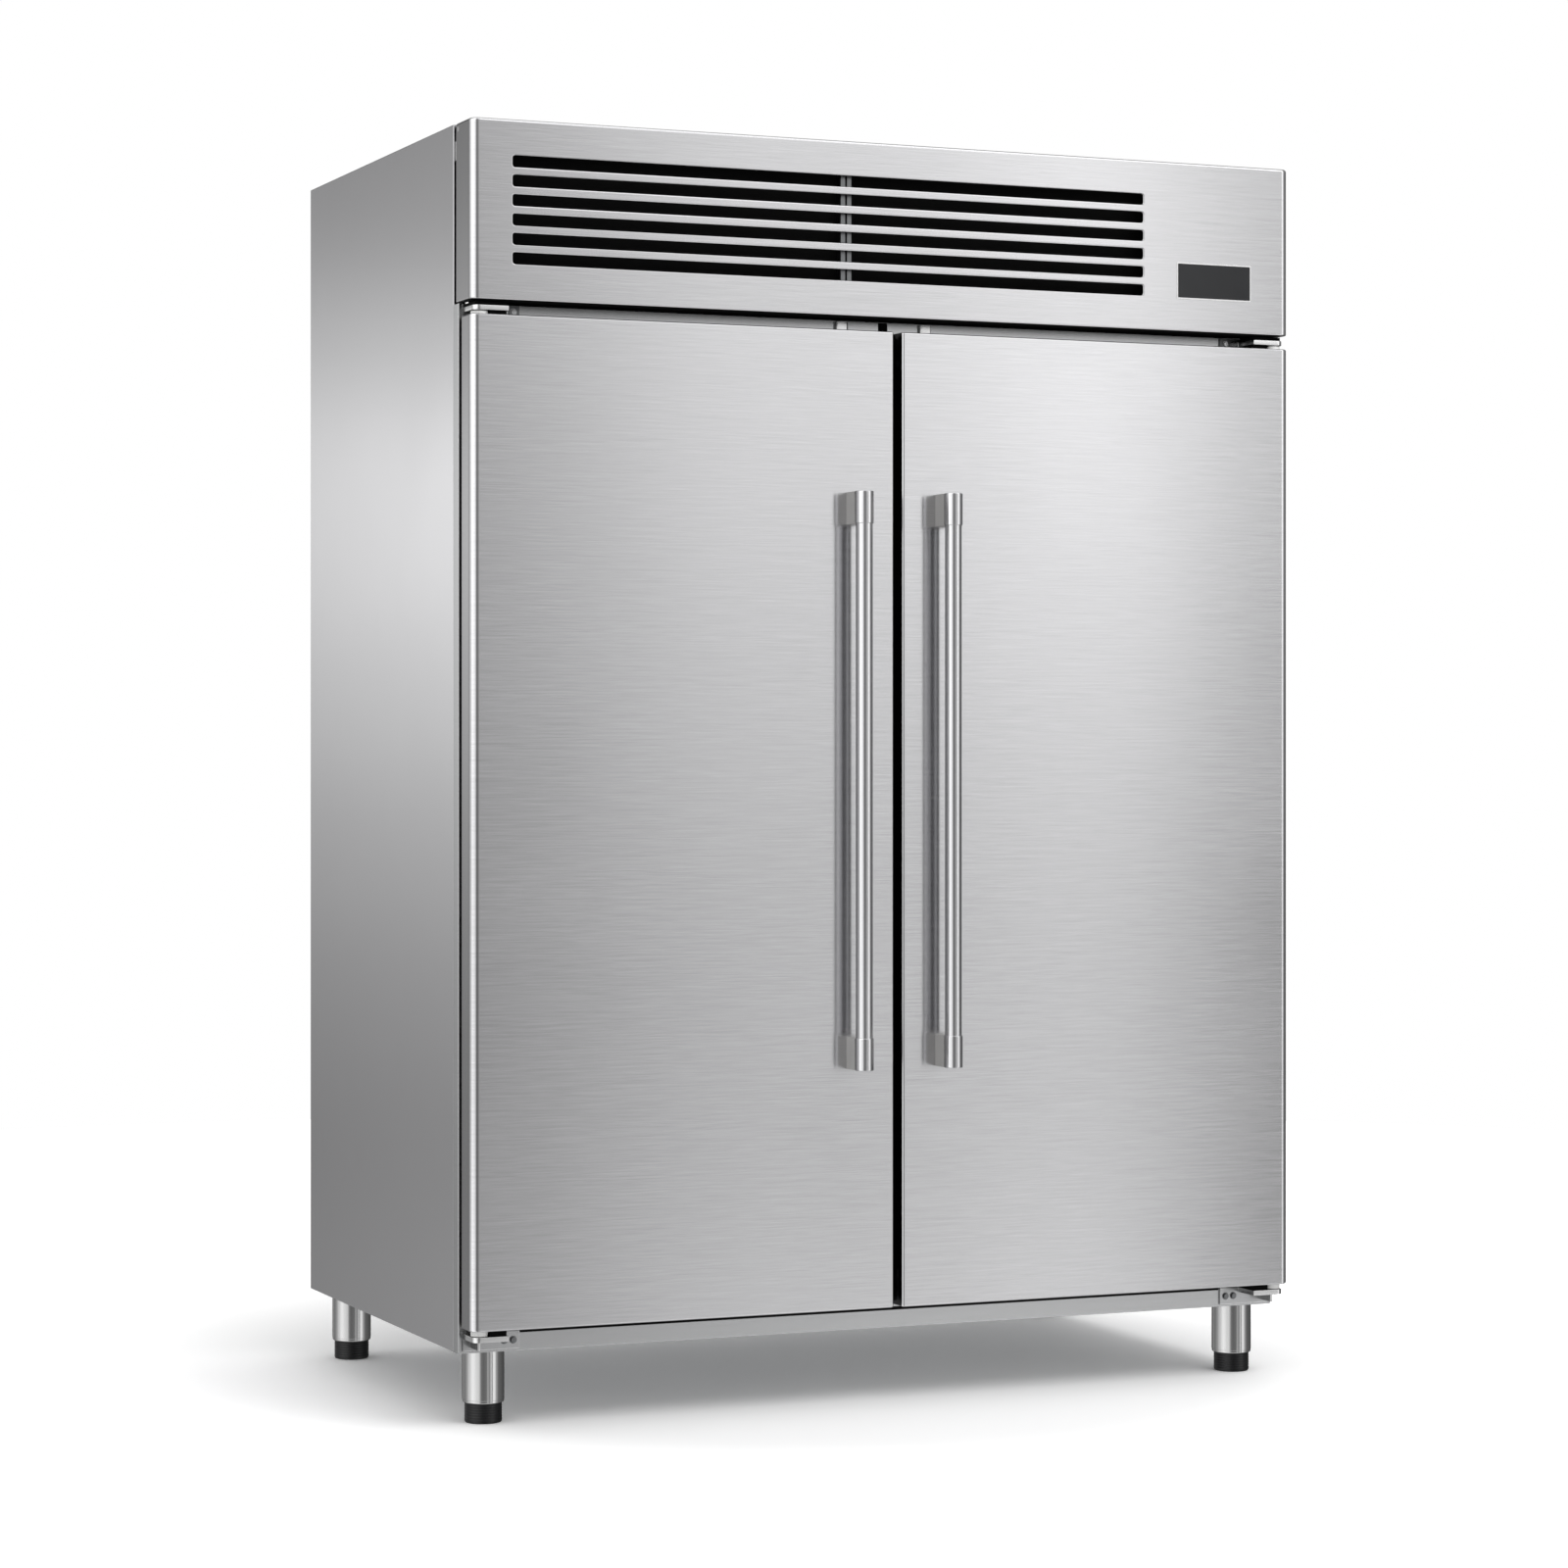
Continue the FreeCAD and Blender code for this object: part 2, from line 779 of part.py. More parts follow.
evap_half = inner_x - evap_side_gap
evap_y0 = side_y + evap_front_gap
evap_y1 = inner_back_y - evap_back_gap
evap_fan_x = evap_half / 2
evap_coil_half = evap_half - evap_coil_side_gap
evap_coil_y1 = evap_y1 - evap_coil_back_gap
evap_coil_y0 = evap_y0 + evap_fan_space
evap_z0 = inner_roof_z - evap_height
evap_fan_y = evap_y0 + evap_sheet + evap_fan_back
evap_mid_z = inner_roof_z - evap_height / 2


def evaporator_cover():
    """Sheet housing under the roof with two round fan openings and an open back."""
    x = evap_half
    y1 = evap_y1
    s = evap_sheet
    case = box(-x, x, evap_y0, y1, evap_z0, inner_roof_z)
    case = case.cut(box(-x + s, x - s, evap_y0 + s, y1 - s, evap_z0 + s, inner_roof_z + overrun))
    lip = evap_back_lip
    case = case.cut(box(-x + lip, x - lip, y1 - s - overrun, y1 + overrun, evap_z0 + lip,
                        inner_roof_z - lip))
    for side in (-1, 1):
        hole = back(evap_fan_diameter + 2 * evap_fan_play, s + 2 * overrun,
                    side * evap_fan_x, evap_y0 - overrun, evap_mid_z)
        case = case.cut(hole)
    return case


def evaporator_coil():
    z1 = inner_roof_z - evap_coil_drop
    z0 = z1 - evap_coil_height
    x = evap_coil_half
    return finned_coil(-x, x, evap_coil_y0, evap_coil_y1, z0, z1, evap_fin_count, z0, inner_roof_z)


def drip_tray():
    y0 = evap_coil_y0 - drip_margin
    y1 = evap_coil_y1 + drip_margin
    x = evap_coil_half + drip_margin
    return open_tray(-x, x, y0, y1, evap_z0 + evap_sheet, drip_height, drip_wall)


def evaporator_fan():
    return fan_wheel(evap_fan_diameter, evap_fan_depth, evap_fan_hub, -evap_fan_x,
                     evap_fan_y, evap_mid_z)


def evaporator_fan_motor():
    """Motor on a bar between the housing floor and the roof of the liner."""
    y0 = evap_fan_y + evap_fan_depth + motor_gap
    x = -evap_fan_x
    y1 = y0 + evap_motor_length
    body = back(evap_motor_diameter, evap_motor_length, x, y0, evap_mid_z)
    shaft = back(motor_shaft, y0 - evap_fan_y, x, evap_fan_y, evap_mid_z)
    bar = box(x - evap_bar_width / 2, x + evap_bar_width / 2, y1, y1 + evap_bar_sheet,
              evap_z0 + evap_sheet, inner_roof_z)
    return fused(body, shaft, bar)


def fan_guard():
    """Flat rings on cross bars, standing off the housing on four legs."""
    x = -evap_fan_x
    y0 = evap_y0 - guard_stand - guard_sheet
    outer = evap_fan_diameter / 2 + evap_fan_play + guard_leg
    rings = []
    step = outer / (guard_rings + 1)
    for i in range(guard_rings + 1):
        radius = outer - i * step
        ring = back(2 * radius, guard_sheet, x, y0, evap_mid_z)
        hole = back(2 * (radius - guard_ring), guard_sheet + 2 * overrun, x, y0 - overrun, evap_mid_z)
        rings.append(ring.cut(hole))
    half = guard_bar / 2
    reach = outer - guard_ring / 2
    rings.append(box(x - reach, x + reach, y0, y0 + guard_sheet, evap_mid_z - half, evap_mid_z + half))
    rings.append(box(x - half, x + half, y0, y0 + guard_sheet, evap_mid_z - reach, evap_mid_z + reach))
    leg = reach - guard_ring / 2
    for sx, sz in ((1, 0), (-1, 0), (0, 1), (0, -1)):
        rings.append(box(x + sx * leg - half, x + sx * leg + half, y0 + guard_sheet, evap_y0,
                         evap_mid_z + sz * leg - half, evap_mid_z + sz * leg + half))
    return fused(*rings)


# Shelves

shelf_post_z1 = evap_z0 - shelf_post_top_gap
shelf_post_rows = [side_y + shelf_post_front_gap, inner_back_y - shelf_post_back_gap]
shelf_x1 = -middle_post_sheet / 2 - shelf_side_gap
shelf_x0 = -inner_x + wall_post_sheet + shelf_side_gap


def slotted_post(x0, x1, y, faces, lift):
    """Upright strip with a row of slots for the shelf clips."""
    half = shelf_post_width / 2
    post = box(x0, x1, y - half, y + half, inner_floor_z + lift, shelf_post_z1)
    cuts = []
    z = inner_floor_z + post_slot_rise
    while z + post_slot_height < shelf_post_z1 - post_slot_rise:
        for face in faces:
            inner, outer = sorted((face, face - post_slot_depth if face > x0 else face + post_slot_depth))
            cuts.append(box(inner, outer, y - post_slot_width / 2, y + post_slot_width / 2,
                            z, z + post_slot_height))
        z += post_slot_pitch
    return post.cut(Part.makeCompound(cuts))


def shelf_posts():
    posts = []
    for y in shelf_post_rows:
        x1 = -inner_x + wall_post_sheet
        wall = slotted_post(-inner_x, x1, y, [x1], liner_corner)
        half = middle_post_sheet / 2
        posts += [wall, mirrored(wall), slotted_post(-half, half, y, [-half, half], 0)]
    return posts


def shelf_z(level):
    return inner_floor_z + first_shelf_rise + level * shelf_pitch


def shelf_clips():
    """Folded clips that hook on the posts and carry the shelf corners."""
    clips = []
    for level in range(shelf_levels):
        z = shelf_z(level)
        for y in shelf_post_rows:
            for face, way in ((-inner_x + wall_post_sheet, 1), (-middle_post_sheet / 2, -1)):
                tip = face + way * clip_reach
                root = face + way * clip_sheet
                half = clip_width / 2
                arm = box(min(face, tip), max(face, tip), y - half, y + half, z - clip_sheet, z)
                tab = box(min(face, root), max(face, root), y - half, y + half,
                          z - clip_sheet - clip_drop, z - clip_sheet)
                clip = fused(arm, tab)
                clips += [clip, mirrored(clip)]
    return clips


def wire_shelf(level):
    """Shelf grid of long wires inside a rim, with two braces under them."""
    z0 = shelf_z(level)
    y0 = side_y + shelf_front_gap
    y1 = inner_back_y - shelf_back_gap
    plate = box(shelf_x0, shelf_x1, y0, y1, z0, z0 + shelf_sheet)
    pitch = (shelf_x1 - shelf_x0 - 2 * shelf_rim + shelf_wire) / (shelf_wires + 1)
    cuts = []
    for i in range(shelf_wires + 1):
        x = shelf_x0 + shelf_rim + i * pitch
        cuts.append(box(x, x + pitch - shelf_wire, y0 + shelf_rim, y1 - shelf_rim, z0 - overrun,
                        z0 + shelf_sheet + overrun))
    grid = plate.cut(Part.makeCompound(cuts))
    half = shelf_brace / 2
    braces = []
    for y in (y0 + shelf_brace_inset, y1 - shelf_brace_inset):
        braces.append(box(shelf_x0, shelf_x1, y - half, y + half, z0 - shelf_sheet, z0))
    return fused(grid, *braces)


# Legs and feet

leg_places = [("front", leg_from_front), ("back", body_depth - leg_from_back)]
leg_x = -half_width + leg_from_side


def leg(y):
    """Round leg under the body, bored wide for the foot and threaded above for its screw."""
    web_z = foot_height + leg_web_rise
    outer = leg_tube / 2
    bore = outer - leg_wall
    screw = foot_screw / 2 + running_fit
    points = [(screw, web_z), (bore, web_z), (bore, foot_show), (outer, foot_show), (outer, base_z),
              (screw, base_z)]
    return turned(points, leg_x, y, 0)


def foot(y):
    """Black foot on a screw that turns in the leg's threaded web."""
    r = foot_diameter / 2
    points = [(0, 0), (r, 0), (r, foot_height), (foot_screw / 2, foot_height),
              (foot_screw / 2, foot_screw_top), (0, foot_screw_top)]
    return turned(points, leg_x, y, 0)


# Hinges

axis_x = -half_width + axis_inset


def hinge(plate_z, pin_z0, base_z0, rib_z0, base_height):
    """Left hinge: base plate on the frame, cantilever plate, rib and pin."""
    x0 = -half_width + hinge_side_inset
    x1 = x0 + hinge_width
    wall_y = frame_y - base_plate_sheet
    plate = box(x0, x1, hinge_reach_inset, wall_y, plate_z, plate_z + hinge_sheet)
    corner = [e for e in plate.Edges
              if e.BoundBox.ZLength > hinge_sheet / 2 and e.BoundBox.XMax < x0 + skin_sheet
              and e.BoundBox.YMax < wall_y - skin_sheet]
    plate = plate.makeFillet(hinge_corner_cut, corner)
    base = box(x0, x0 + base_plate_width, wall_y, frame_y, base_z0, base_z0 + base_height)
    pin = up(hinge_pin, hinge_pin_length, axis_x, axis_depth, pin_z0)
    pieces = [base, pin]
    if rib_z0 is not None:
        pieces.append(box(axis_x - rib_sheet / 2, axis_x + rib_sheet / 2, axis_depth, wall_y,
                          rib_z0, plate_z))
    return fused(plate, *pieces)


top_plate_z = door_top_z + top_hinge_lift
bottom_plate_z = door_bottom_z - bottom_hinge_drop - hinge_sheet


def top_hinge():
    height = box_top_z - door_top_z + base_plate_sheet
    return hinge(top_plate_z, top_plate_z - hinge_pin_length, box_top_z - height, None, height)


def bottom_hinge():
    z0 = bottom_plate_z + hinge_sheet - base_plate_height
    return hinge(bottom_plate_z, bottom_plate_z + hinge_sheet, z0, bottom_plate_z - rib_height,
                 base_plate_height)


# Doors

def door_block(inset, y0, y1):
    """Door outline with its two corner radii, inset by a wall, between two depths."""
    x0 = -half_width + inset
    x1 = -door_gap / 2 - inset
    block = box(x0, x1, y0, y1, door_bottom_z + inset, door_top_z - inset)
    front = upright_front_edges(block, x0, y0)
    block = block.makeFillet(hinge_corner - inset, front)
    return block.makeFillet(free_corner - inset, upright_front_edges(block, x1, y0))


def upright_front_edges(block, x, y0):
    found = []
    for e in block.Edges:
        b = e.BoundBox
        near = abs(b.XMin - x) < skin_sheet / 4 and abs(b.YMin - y0) < skin_sheet / 4
        if near and b.ZLength > door_width and b.YLength < skin_sheet / 4:
            found.append(e)
    return found


def bush_holes(diameter, extra):
    """Round holes in the door's top and bottom for the hinge bushes."""
    depth = hinge_pin_length + bush_floor + extra
    low = up(diameter, depth, axis_x, axis_depth, door_bottom_z - extra)
    high = up(diameter, depth, axis_x, axis_depth, door_top_z - depth + extra)
    return low, high


def door_skin():
    outer = door_block(0, 0, door_thickness - door_back_sheet)
    inner = door_block(skin_sheet, skin_sheet, door_thickness)
    skin = outer.cut(inner)
    for hole in bush_holes(bush_outer, overrun):
        skin = skin.cut(hole)
    return skin


def panel_block(inset, y1):
    """Raised panel on the back of the door, with rounded corners."""
    x0 = -half_width + door_panel_inset + inset
    x1 = -door_gap / 2 - door_panel_inset - inset
    z0 = door_bottom_z + door_panel_inset + inset
    z1 = door_top_z - door_panel_inset - inset
    return window(x0, x1, z0, z1, door_panel_corner - inset, door_thickness - door_back_sheet, y1)


def door_back():
    """Back sheet of the door with its pressed panel."""
    inset = door_back_inset
    y0 = door_thickness - door_back_sheet
    sheet = box(-half_width + inset, -door_gap / 2 - inset, y0, door_thickness,
                door_bottom_z + inset, door_top_z - inset)
    raised = panel_block(0, door_thickness + door_panel_rise)
    hollow = panel_block(door_panel_sheet, door_thickness + door_panel_rise - door_panel_sheet)
    return sheet.fuse(raised).cut(hollow).removeSplitter()


def door_core():
    """Foam that fills the door between its skin and its back sheet."""
    core = door_block(skin_sheet, skin_sheet, door_thickness - door_back_sheet)
    core = core.fuse(panel_block(door_panel_sheet, door_thickness + door_panel_rise - door_panel_sheet))
    for hole in bush_holes(bush_outer, 0):
        core = core.cut(hole)
    return core.removeSplitter()


def door_bushes():
    """Nylon bushes with flanges that carry the door on the hinge pins."""
    bushes = []
    reach = hinge_pin_length + bush_floor
    lift = top_hinge_lift - bush_flange_play
    drop = bottom_hinge_drop - bush_flange_play
    play = 2 * running_fit
    body = up(bush_outer, reach, axis_x, axis_depth, door_top_z - reach)
    flange = up(bush_flange, lift, axis_x, axis_depth, door_top_z)
    bore = up(hinge_pin + play, hinge_pin_length + overrun, axis_x, axis_depth,
              top_plate_z - hinge_pin_length)
    bushes.append(fused(body, flange).cut(bore))
    body = up(bush_outer, reach, axis_x, axis_depth, door_bottom_z)
    flange = up(bush_flange, drop, axis_x, axis_depth, door_bottom_z - drop)
    bore = up(hinge_pin + play, hinge_pin_length + overrun, axis_x, axis_depth,
              bottom_plate_z + hinge_sheet - overrun)
    bushes.append(fused(body, flange).cut(bore))
    return bushes


def ring_block(inset, y0, y1):
    """Rectangular ring round the back of the door, narrowed by an inset on both sides."""
    x0 = -half_width + gasket_inset + inset
    x1 = -door_gap / 2 - gasket_inset - inset
    z0 = door_bottom_z + gasket_inset + inset
    z1 = door_top_z - gasket_inset - inset
    wide = gasket_width - 2 * inset
    outer = box(x0, x1, y0, y1, z0, z1)
    inner = box(x0 + wide, x1 - wide, y0 - overrun, y1 + overrun, z0 + wide, z1 - wide)
    return outer.cut(inner)


def door_gasket():
    """Magnetic gasket: foot on the door, narrow neck and the lip that meets the frame."""
    y0 = door_thickness
    y1 = y0 + gasket_foot
    y2 = y1 + gasket_neck
    return fused(ring_block(0, y0, y1), ring_block(gasket_neck_inset, y1, y2),
                 ring_block(gasket_lip_inset, y2, frame_y - touch_gap))


handle_x = -handle_from_middle
handle_top_z = handle_bottom_z + handle_length


def handle_bar():
    """Tube that runs from bracket to bracket."""
    z0 = handle_bottom_z + handle_end_cap
    length = handle_length - 2 * handle_end_cap
    tube = up(handle_tube, length, handle_x, -handle_stand_off, z0)
    return tube.cut(up(handle_bore, length + 2 * overrun, handle_x, -handle_stand_off, z0 - overrun))


def handle_brackets():
    """Closed sleeves over the tube's ends, each on a square post to the door."""
    brackets = []
    half = handle_post_width / 2
    bore_height = handle_post_height - handle_end_cap
    for z0, bore_z in ((handle_bottom_z, handle_bottom_z + handle_end_cap),
                       (handle_top_z - handle_post_height, handle_top_z - handle_post_height)):
        sleeve = up(handle_sleeve, handle_post_height, handle_x, -handle_stand_off, z0)
        post = box(handle_x - half, handle_x + half, -handle_stand_off, 0, z0, z0 + handle_post_height)
        bore = up(handle_tube, bore_height, handle_x, -handle_stand_off, bore_z)
        brackets.append(fused(sleeve, post).cut(bore))
    return brackets


# Fascia flap

slot_x0 = -half_width + slot_left
display_x1 = half_width - display_from_right
display_x0 = display_x1 - display_width
slot_x1 = display_x0 - slot_to_display
display_z0 = fascia_z + display_rise
display_z1 = display_z0 + display_height
flap_axis_z = top_z - flap_axis_drop


def slot_block(row, grow, y0, y1):
    z1 = top_z - slot_drop - row * slot_pitch
    corner = 0 if grow > 0 else slot_corner
    return window(slot_x0 - grow, slot_x1 + grow, z1 - slot_height - grow, z1 + grow, corner, y0, y1)


def fascia_panel():
    """Folded panel with rounded corners, lipped air slots and the display cut-out."""
    block = box(-half_width, half_width, 0, fascia_return, fascia_z, top_z)
    block = block.makeFillet(hinge_corner, front_uprights(block))
    block = block.makeFillet(fascia_top_corner, top_rim(block))
    t = frame_sheet
    hollow = box(-half_width + t, half_width - t, t, fascia_return + overrun, fascia_z + t, top_z - t)
    hollow = hollow.makeFillet(hinge_corner - t, front_uprights(hollow))
    hollow = hollow.makeFillet(fascia_top_corner - t, top_rim(hollow))
    panel = block.cut(hollow)
    panel = panel.cut(box(-half_width + hinge_corner, half_width - hinge_corner,
                          fascia_bottom_return, fascia_return + overrun, fascia_z - overrun,
                          fascia_z + t + skin_sheet))
    lips = [slot_block(row, t, 0, slot_lip) for row in range(slot_count)]
    panel = panel.fuse(lips)
    holes = [slot_block(row, 0, -overrun, slot_lip + overrun) for row in range(slot_count)]
    panel = panel.cut(Part.makeCompound(holes))
    panel = panel.cut(box(display_x0, display_x1, -overrun, t + overrun, display_z0, display_z1))
    pin = across(flap_pin + 2 * running_fit, body_width + 2 * overrun, -half_width - overrun,
                 flap_axis_depth, flap_axis_z)
    return panel.cut(pin).removeSplitter()


def front_uprights(block):
    y0 = block.BoundBox.YMin
    return [e for e in block.Edges
            if e.BoundBox.ZLength > fascia_height / 2 and e.BoundBox.YMax < y0 + skin_sheet]


def top_rim(block):
    """Edges round the top of the fascia, without the one at its open back."""
    limits = block.BoundBox
    return [e for e in block.Edges
            if e.BoundBox.ZMin > limits.ZMax - skin_sheet and e.BoundBox.YMin < limits.YMax - skin_sheet]


def grille_strap():
    """Stiffener behind the slots, from the bottom fold to the top fold."""
    x0 = -half_width + strap_from_left
    x1 = x0 + strap_width
    z0 = fascia_z + frame_sheet
    z1 = top_z - frame_sheet
    strap = box(x0, x1, strap_set_back - strap_depth / 2, strap_set_back + strap_depth / 2, z0, z1)
    middle = (x0 + x1) / 2
    groove = box(middle - strap_groove / 2, middle + strap_groove / 2, 0,
                 strap_set_back, z0 - overrun, z1 + overrun)
    return strap.cut(groove)


def display_window():
    return box(display_x0, display_x1, frame_sheet - display_glass, frame_sheet, display_z0, display_z1)


def controller_box():
    b = controller_border
    case = box(display_x0 - b, display_x1 + b, frame_sheet, controller_depth, display_z0 - b,
               display_z1 + b)
    rear = [e for e in case.Edges if e.BoundBox.YMin > controller_depth - skin_sheet]
    return case.makeFillet(b / 2, rear)


def fascia_pivot():
    """Arm on the side panel's fold, with the pin that the flap turns on."""
    x0 = -half_width + frame_sheet + flap_arm_side_gap
    x1 = x0 + flap_arm_sheet
    y = flap_axis_depth
    z = flap_axis_z
    half = flap_arm_half_width
    upright = box(x0, x1, y - half, y + half, z - flap_arm_bottom, z + flap_arm_top)
    arm = box(x0, x1, y + half, side_y, z - flap_arm_bottom, z - flap_arm_step)
    foot = box(x1, -half_width + skin_sheet + skin_fold, side_y - flap_arm_sheet, side_y,
               z - flap_arm_bottom, z - flap_arm_step)
    pin = across(flap_pin, x0 + half_width, -half_width, y, z)
    return fused(upright, arm, foot, pin)


def build():
    os.makedirs("parts", exist_ok=True)
    skin = side_skin()
    frame = front_frame()
    strip = breaker_strip()
    save("side_skin_left", skin)
    save("side_skin_right", mirrored(skin))
    save("back_skin", back_skin())
    save("bottom_skin", bottom_skin())
    save("deck_skin", deck_skin())
    foam = insulation(frame, strip, [skin, mirrored(skin)])
    save("insulation", foam, post_block(post_web_sheet))
    save("liner", liner())
    save("front_frame", frame)
    save("breaker_strip", strip)
    save("middle_post", middle_post())
    save("post_head_plates", *post_head_plates())
    save("door_switches", *door_switches())
    save("top_cover", top_cover())
    save("back_grille", back_grille())
    save("cable_gland", cable_gland())
    save("condenser_coil", condenser_coil())
    save("condenser_shroud", condenser_shroud())
    save("condenser_fan", condenser_fan())
    save("condenser_fan_motor", condenser_fan_motor())
    save("compressor", compressor())
    save("refrigerant_pipes", *refrigerant_pipes(), filter_drier())
    save("electrical_box", electrical_box())
    save("condensate_tray", condensate_tray())
    save("evaporator_cover", evaporator_cover())
    save("evaporator_coil", evaporator_coil())
    save("drip_tray", drip_tray())
    motor = evaporator_fan_motor()
    save("evaporator_fan_motors", motor, mirrored(motor))
    guard = fan_guard()
    save("fan_guards", guard, mirrored(guard))
    fan = evaporator_fan()
    across_gap = V(2 * evap_fan_x, 0, 0)
    save("evaporator_fan_left", fan)
    save("evaporator_fan_right", fan.translated(across_gap))
    save("shelf_posts", *shelf_posts())
    save("shelf_clips", *shelf_clips())
    shelves = [wire_shelf(level) for level in range(shelf_levels)]
    save("shelves_left", *shelves)
    save("shelves_right", *[mirrored(s) for s in shelves])
    pivot = fascia_pivot()
    save("fascia_pivots", pivot, mirrored(pivot))
    save("fascia_panel", fascia_panel())
    save("grille_strap", grille_strap())
    save("display_window", display_window())
    save("controller_box", controller_box())
    legs = []
    for place, y in leg_places:
        one_leg = leg(y)
        one_foot = foot(y)
        legs += [one_leg, mirrored(one_leg)]
        for side in ("left", "right"):
            save("foot_" + place + "_" + side, on_side(one_foot, side))
    save("legs", *legs)
    for name, one_hinge in (("top_hinges", top_hinge()), ("bottom_hinges", bottom_hinge())):
        save(name, one_hinge, mirrored(one_hinge))
    for side in ("left", "right"):
        save(side + "_door_skin", on_side(door_skin(), side))
        save(side + "_door_core", on_side(door_core(), side))
        save(side + "_door_back", on_side(door_back(), side))
        save(side + "_door_bushes", *[on_side(s, side) for s in door_bushes()])
        save(side + "_door_gasket", on_side(door_gasket(), side))
        save(side + "_handle_bar", on_side(handle_bar(), side))
        save(side + "_handle_brackets", *[on_side(s, side) for s in handle_brackets()])


build()
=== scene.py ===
import json
import math

import bmesh
import bpy
from bpy.props import FloatProperty, FloatVectorProperty, IntProperty, PointerProperty
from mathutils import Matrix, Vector


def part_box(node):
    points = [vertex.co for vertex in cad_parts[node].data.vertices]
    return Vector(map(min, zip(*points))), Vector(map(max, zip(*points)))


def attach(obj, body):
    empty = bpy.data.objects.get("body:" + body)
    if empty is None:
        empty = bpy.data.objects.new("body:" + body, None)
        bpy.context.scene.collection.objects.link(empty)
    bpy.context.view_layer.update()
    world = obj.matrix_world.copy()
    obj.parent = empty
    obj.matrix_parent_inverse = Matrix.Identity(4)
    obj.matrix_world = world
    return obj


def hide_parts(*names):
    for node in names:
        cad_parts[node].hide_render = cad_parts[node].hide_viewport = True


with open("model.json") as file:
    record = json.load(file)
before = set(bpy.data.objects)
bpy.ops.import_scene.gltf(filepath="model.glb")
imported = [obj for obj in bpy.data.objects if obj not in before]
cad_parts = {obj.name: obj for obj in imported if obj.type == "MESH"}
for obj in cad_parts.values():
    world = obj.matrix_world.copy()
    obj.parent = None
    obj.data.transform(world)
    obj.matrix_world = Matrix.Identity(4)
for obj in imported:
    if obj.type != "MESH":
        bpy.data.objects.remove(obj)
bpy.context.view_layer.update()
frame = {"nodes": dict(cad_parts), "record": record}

bl_info = {
    "name": "Two-door upright freezer",
    "version": (1, 0, 0),
    "blender": (4, 5, 0),
    "location": "View3D > Sidebar > Freezer",
    "description": "Dresses the freezer's frame with steel, plastic, rubber and wire pieces",
    "category": "Object",
}

record = frame["record"]
nodes = frame["nodes"]
slot_of = {part["node"]: part["material_slot"] for part in record["subparts"]}
body_of = {node: body for body, members in record["behaviour"]["bodies"].items() for node in members}
finishes = {}


class FreezerSizes(bpy.types.PropertyGroup):
    """Sizes of the details that a user would change."""

    fold_round: FloatProperty(name="Fold radius", description="Outside radius of the folded sheet edges",
                              default=0.0014, unit="LENGTH")
    cut_round: FloatProperty(name="Cut edge", description="Rounding of the cut sheet edges",
                             default=0.0002, unit="LENGTH")
    round_sides: IntProperty(name="Round sides", description="Sides of the tubes, legs and feet",
                             default=96)
    shelf_wire: FloatProperty(name="Shelf wire", description="Diameter of the long shelf wires",
                              default=0.004, unit="LENGTH")


class FreezerFinishes(bpy.types.PropertyGroup):
    """Colours of the main finishes."""

    steel: FloatVectorProperty(name="Steel", description="Brushed steel of the doors, sides and handles",
                               subtype="COLOR", size=3, default=(0.72, 0.718, 0.731))
    inner_steel: FloatVectorProperty(name="Inner steel", description="Steel of the liner",
                                     subtype="COLOR", size=3, default=(0.62, 0.625, 0.63))
    rubber: FloatVectorProperty(name="Gasket", description="Soft door gasket",
                                subtype="COLOR", size=3, default=(0.035, 0.035, 0.037))
    black: FloatVectorProperty(name="Black plastic", description="Feet and cord inlet",
                               subtype="COLOR", size=3, default=(0.005, 0.005, 0.006))


# Modelling by hand, step by step

def deselect():
    if bpy.context.mode != "OBJECT":
        bpy.ops.object.mode_set(mode="OBJECT")
    bpy.ops.object.select_all(action="DESELECT")


def pick(*pieces):
    """Select only these pieces and make the first one active."""
    deselect()
    for piece in pieces:
        piece.select_set(True)
    bpy.context.view_layer.objects.active = pieces[0]


def settle(name):
    """Name the new piece and put its place into its mesh."""
    piece = bpy.context.object
    piece.name = name
    piece.data.name = name
    pick(piece)
    bpy.ops.object.transform_apply(location=True, rotation=True, scale=True)
    return piece


def block(name, low, high):
    """A box between two corners."""
    low, high = Vector(low), Vector(high)
    deselect()
    bpy.ops.mesh.primitive_cube_add(size=1, location=(low + high) / 2, scale=high - low)
    return settle(name)


def bar(name, radius, start, end, sides):
    """A closed round bar between two points."""
    start, end = Vector(start), Vector(end)
    run = end - start
    deselect()
    bpy.ops.mesh.primitive_cylinder_add(vertices=sides, radius=radius, depth=run.length,
                                        location=(start + end) / 2,
                                        rotation=run.to_track_quat("Z", "Y").to_euler())
    return settle(name)


def turned(name, profile, x, y, sides):
    """A closed upright round piece: a circle extruded and scaled along (radius, height) pairs."""
    radius, height = profile[0]
    deselect()
    bpy.ops.mesh.primitive_circle_add(vertices=sides, radius=radius, location=(x, y, height))
    piece = settle(name)
    shape(piece, "EDGE")
    bpy.ops.mesh.edge_face_add()
    choose("EDGE")
    for wide, high in profile[1:]:
        bpy.ops.mesh.extrude_edges_move(TRANSFORM_OT_translate={"value": (0, 0, high - height)})
        share = wide / radius
        bpy.ops.transform.resize(value=(share, share, 1), center_override=(x, y, high))
        radius, height = wide, high
    bpy.ops.mesh.edge_face_add()
    choose("FACE")
    bpy.ops.mesh.normals_make_consistent(inside=False)
    bpy.ops.object.mode_set(mode="OBJECT")
    return piece


def middle(item):
    """The middle of a vertex, an edge or a face."""
    corners = item.verts if hasattr(item, "verts") else [item]
    return sum((v.co for v in corners), Vector()) / len(corners)


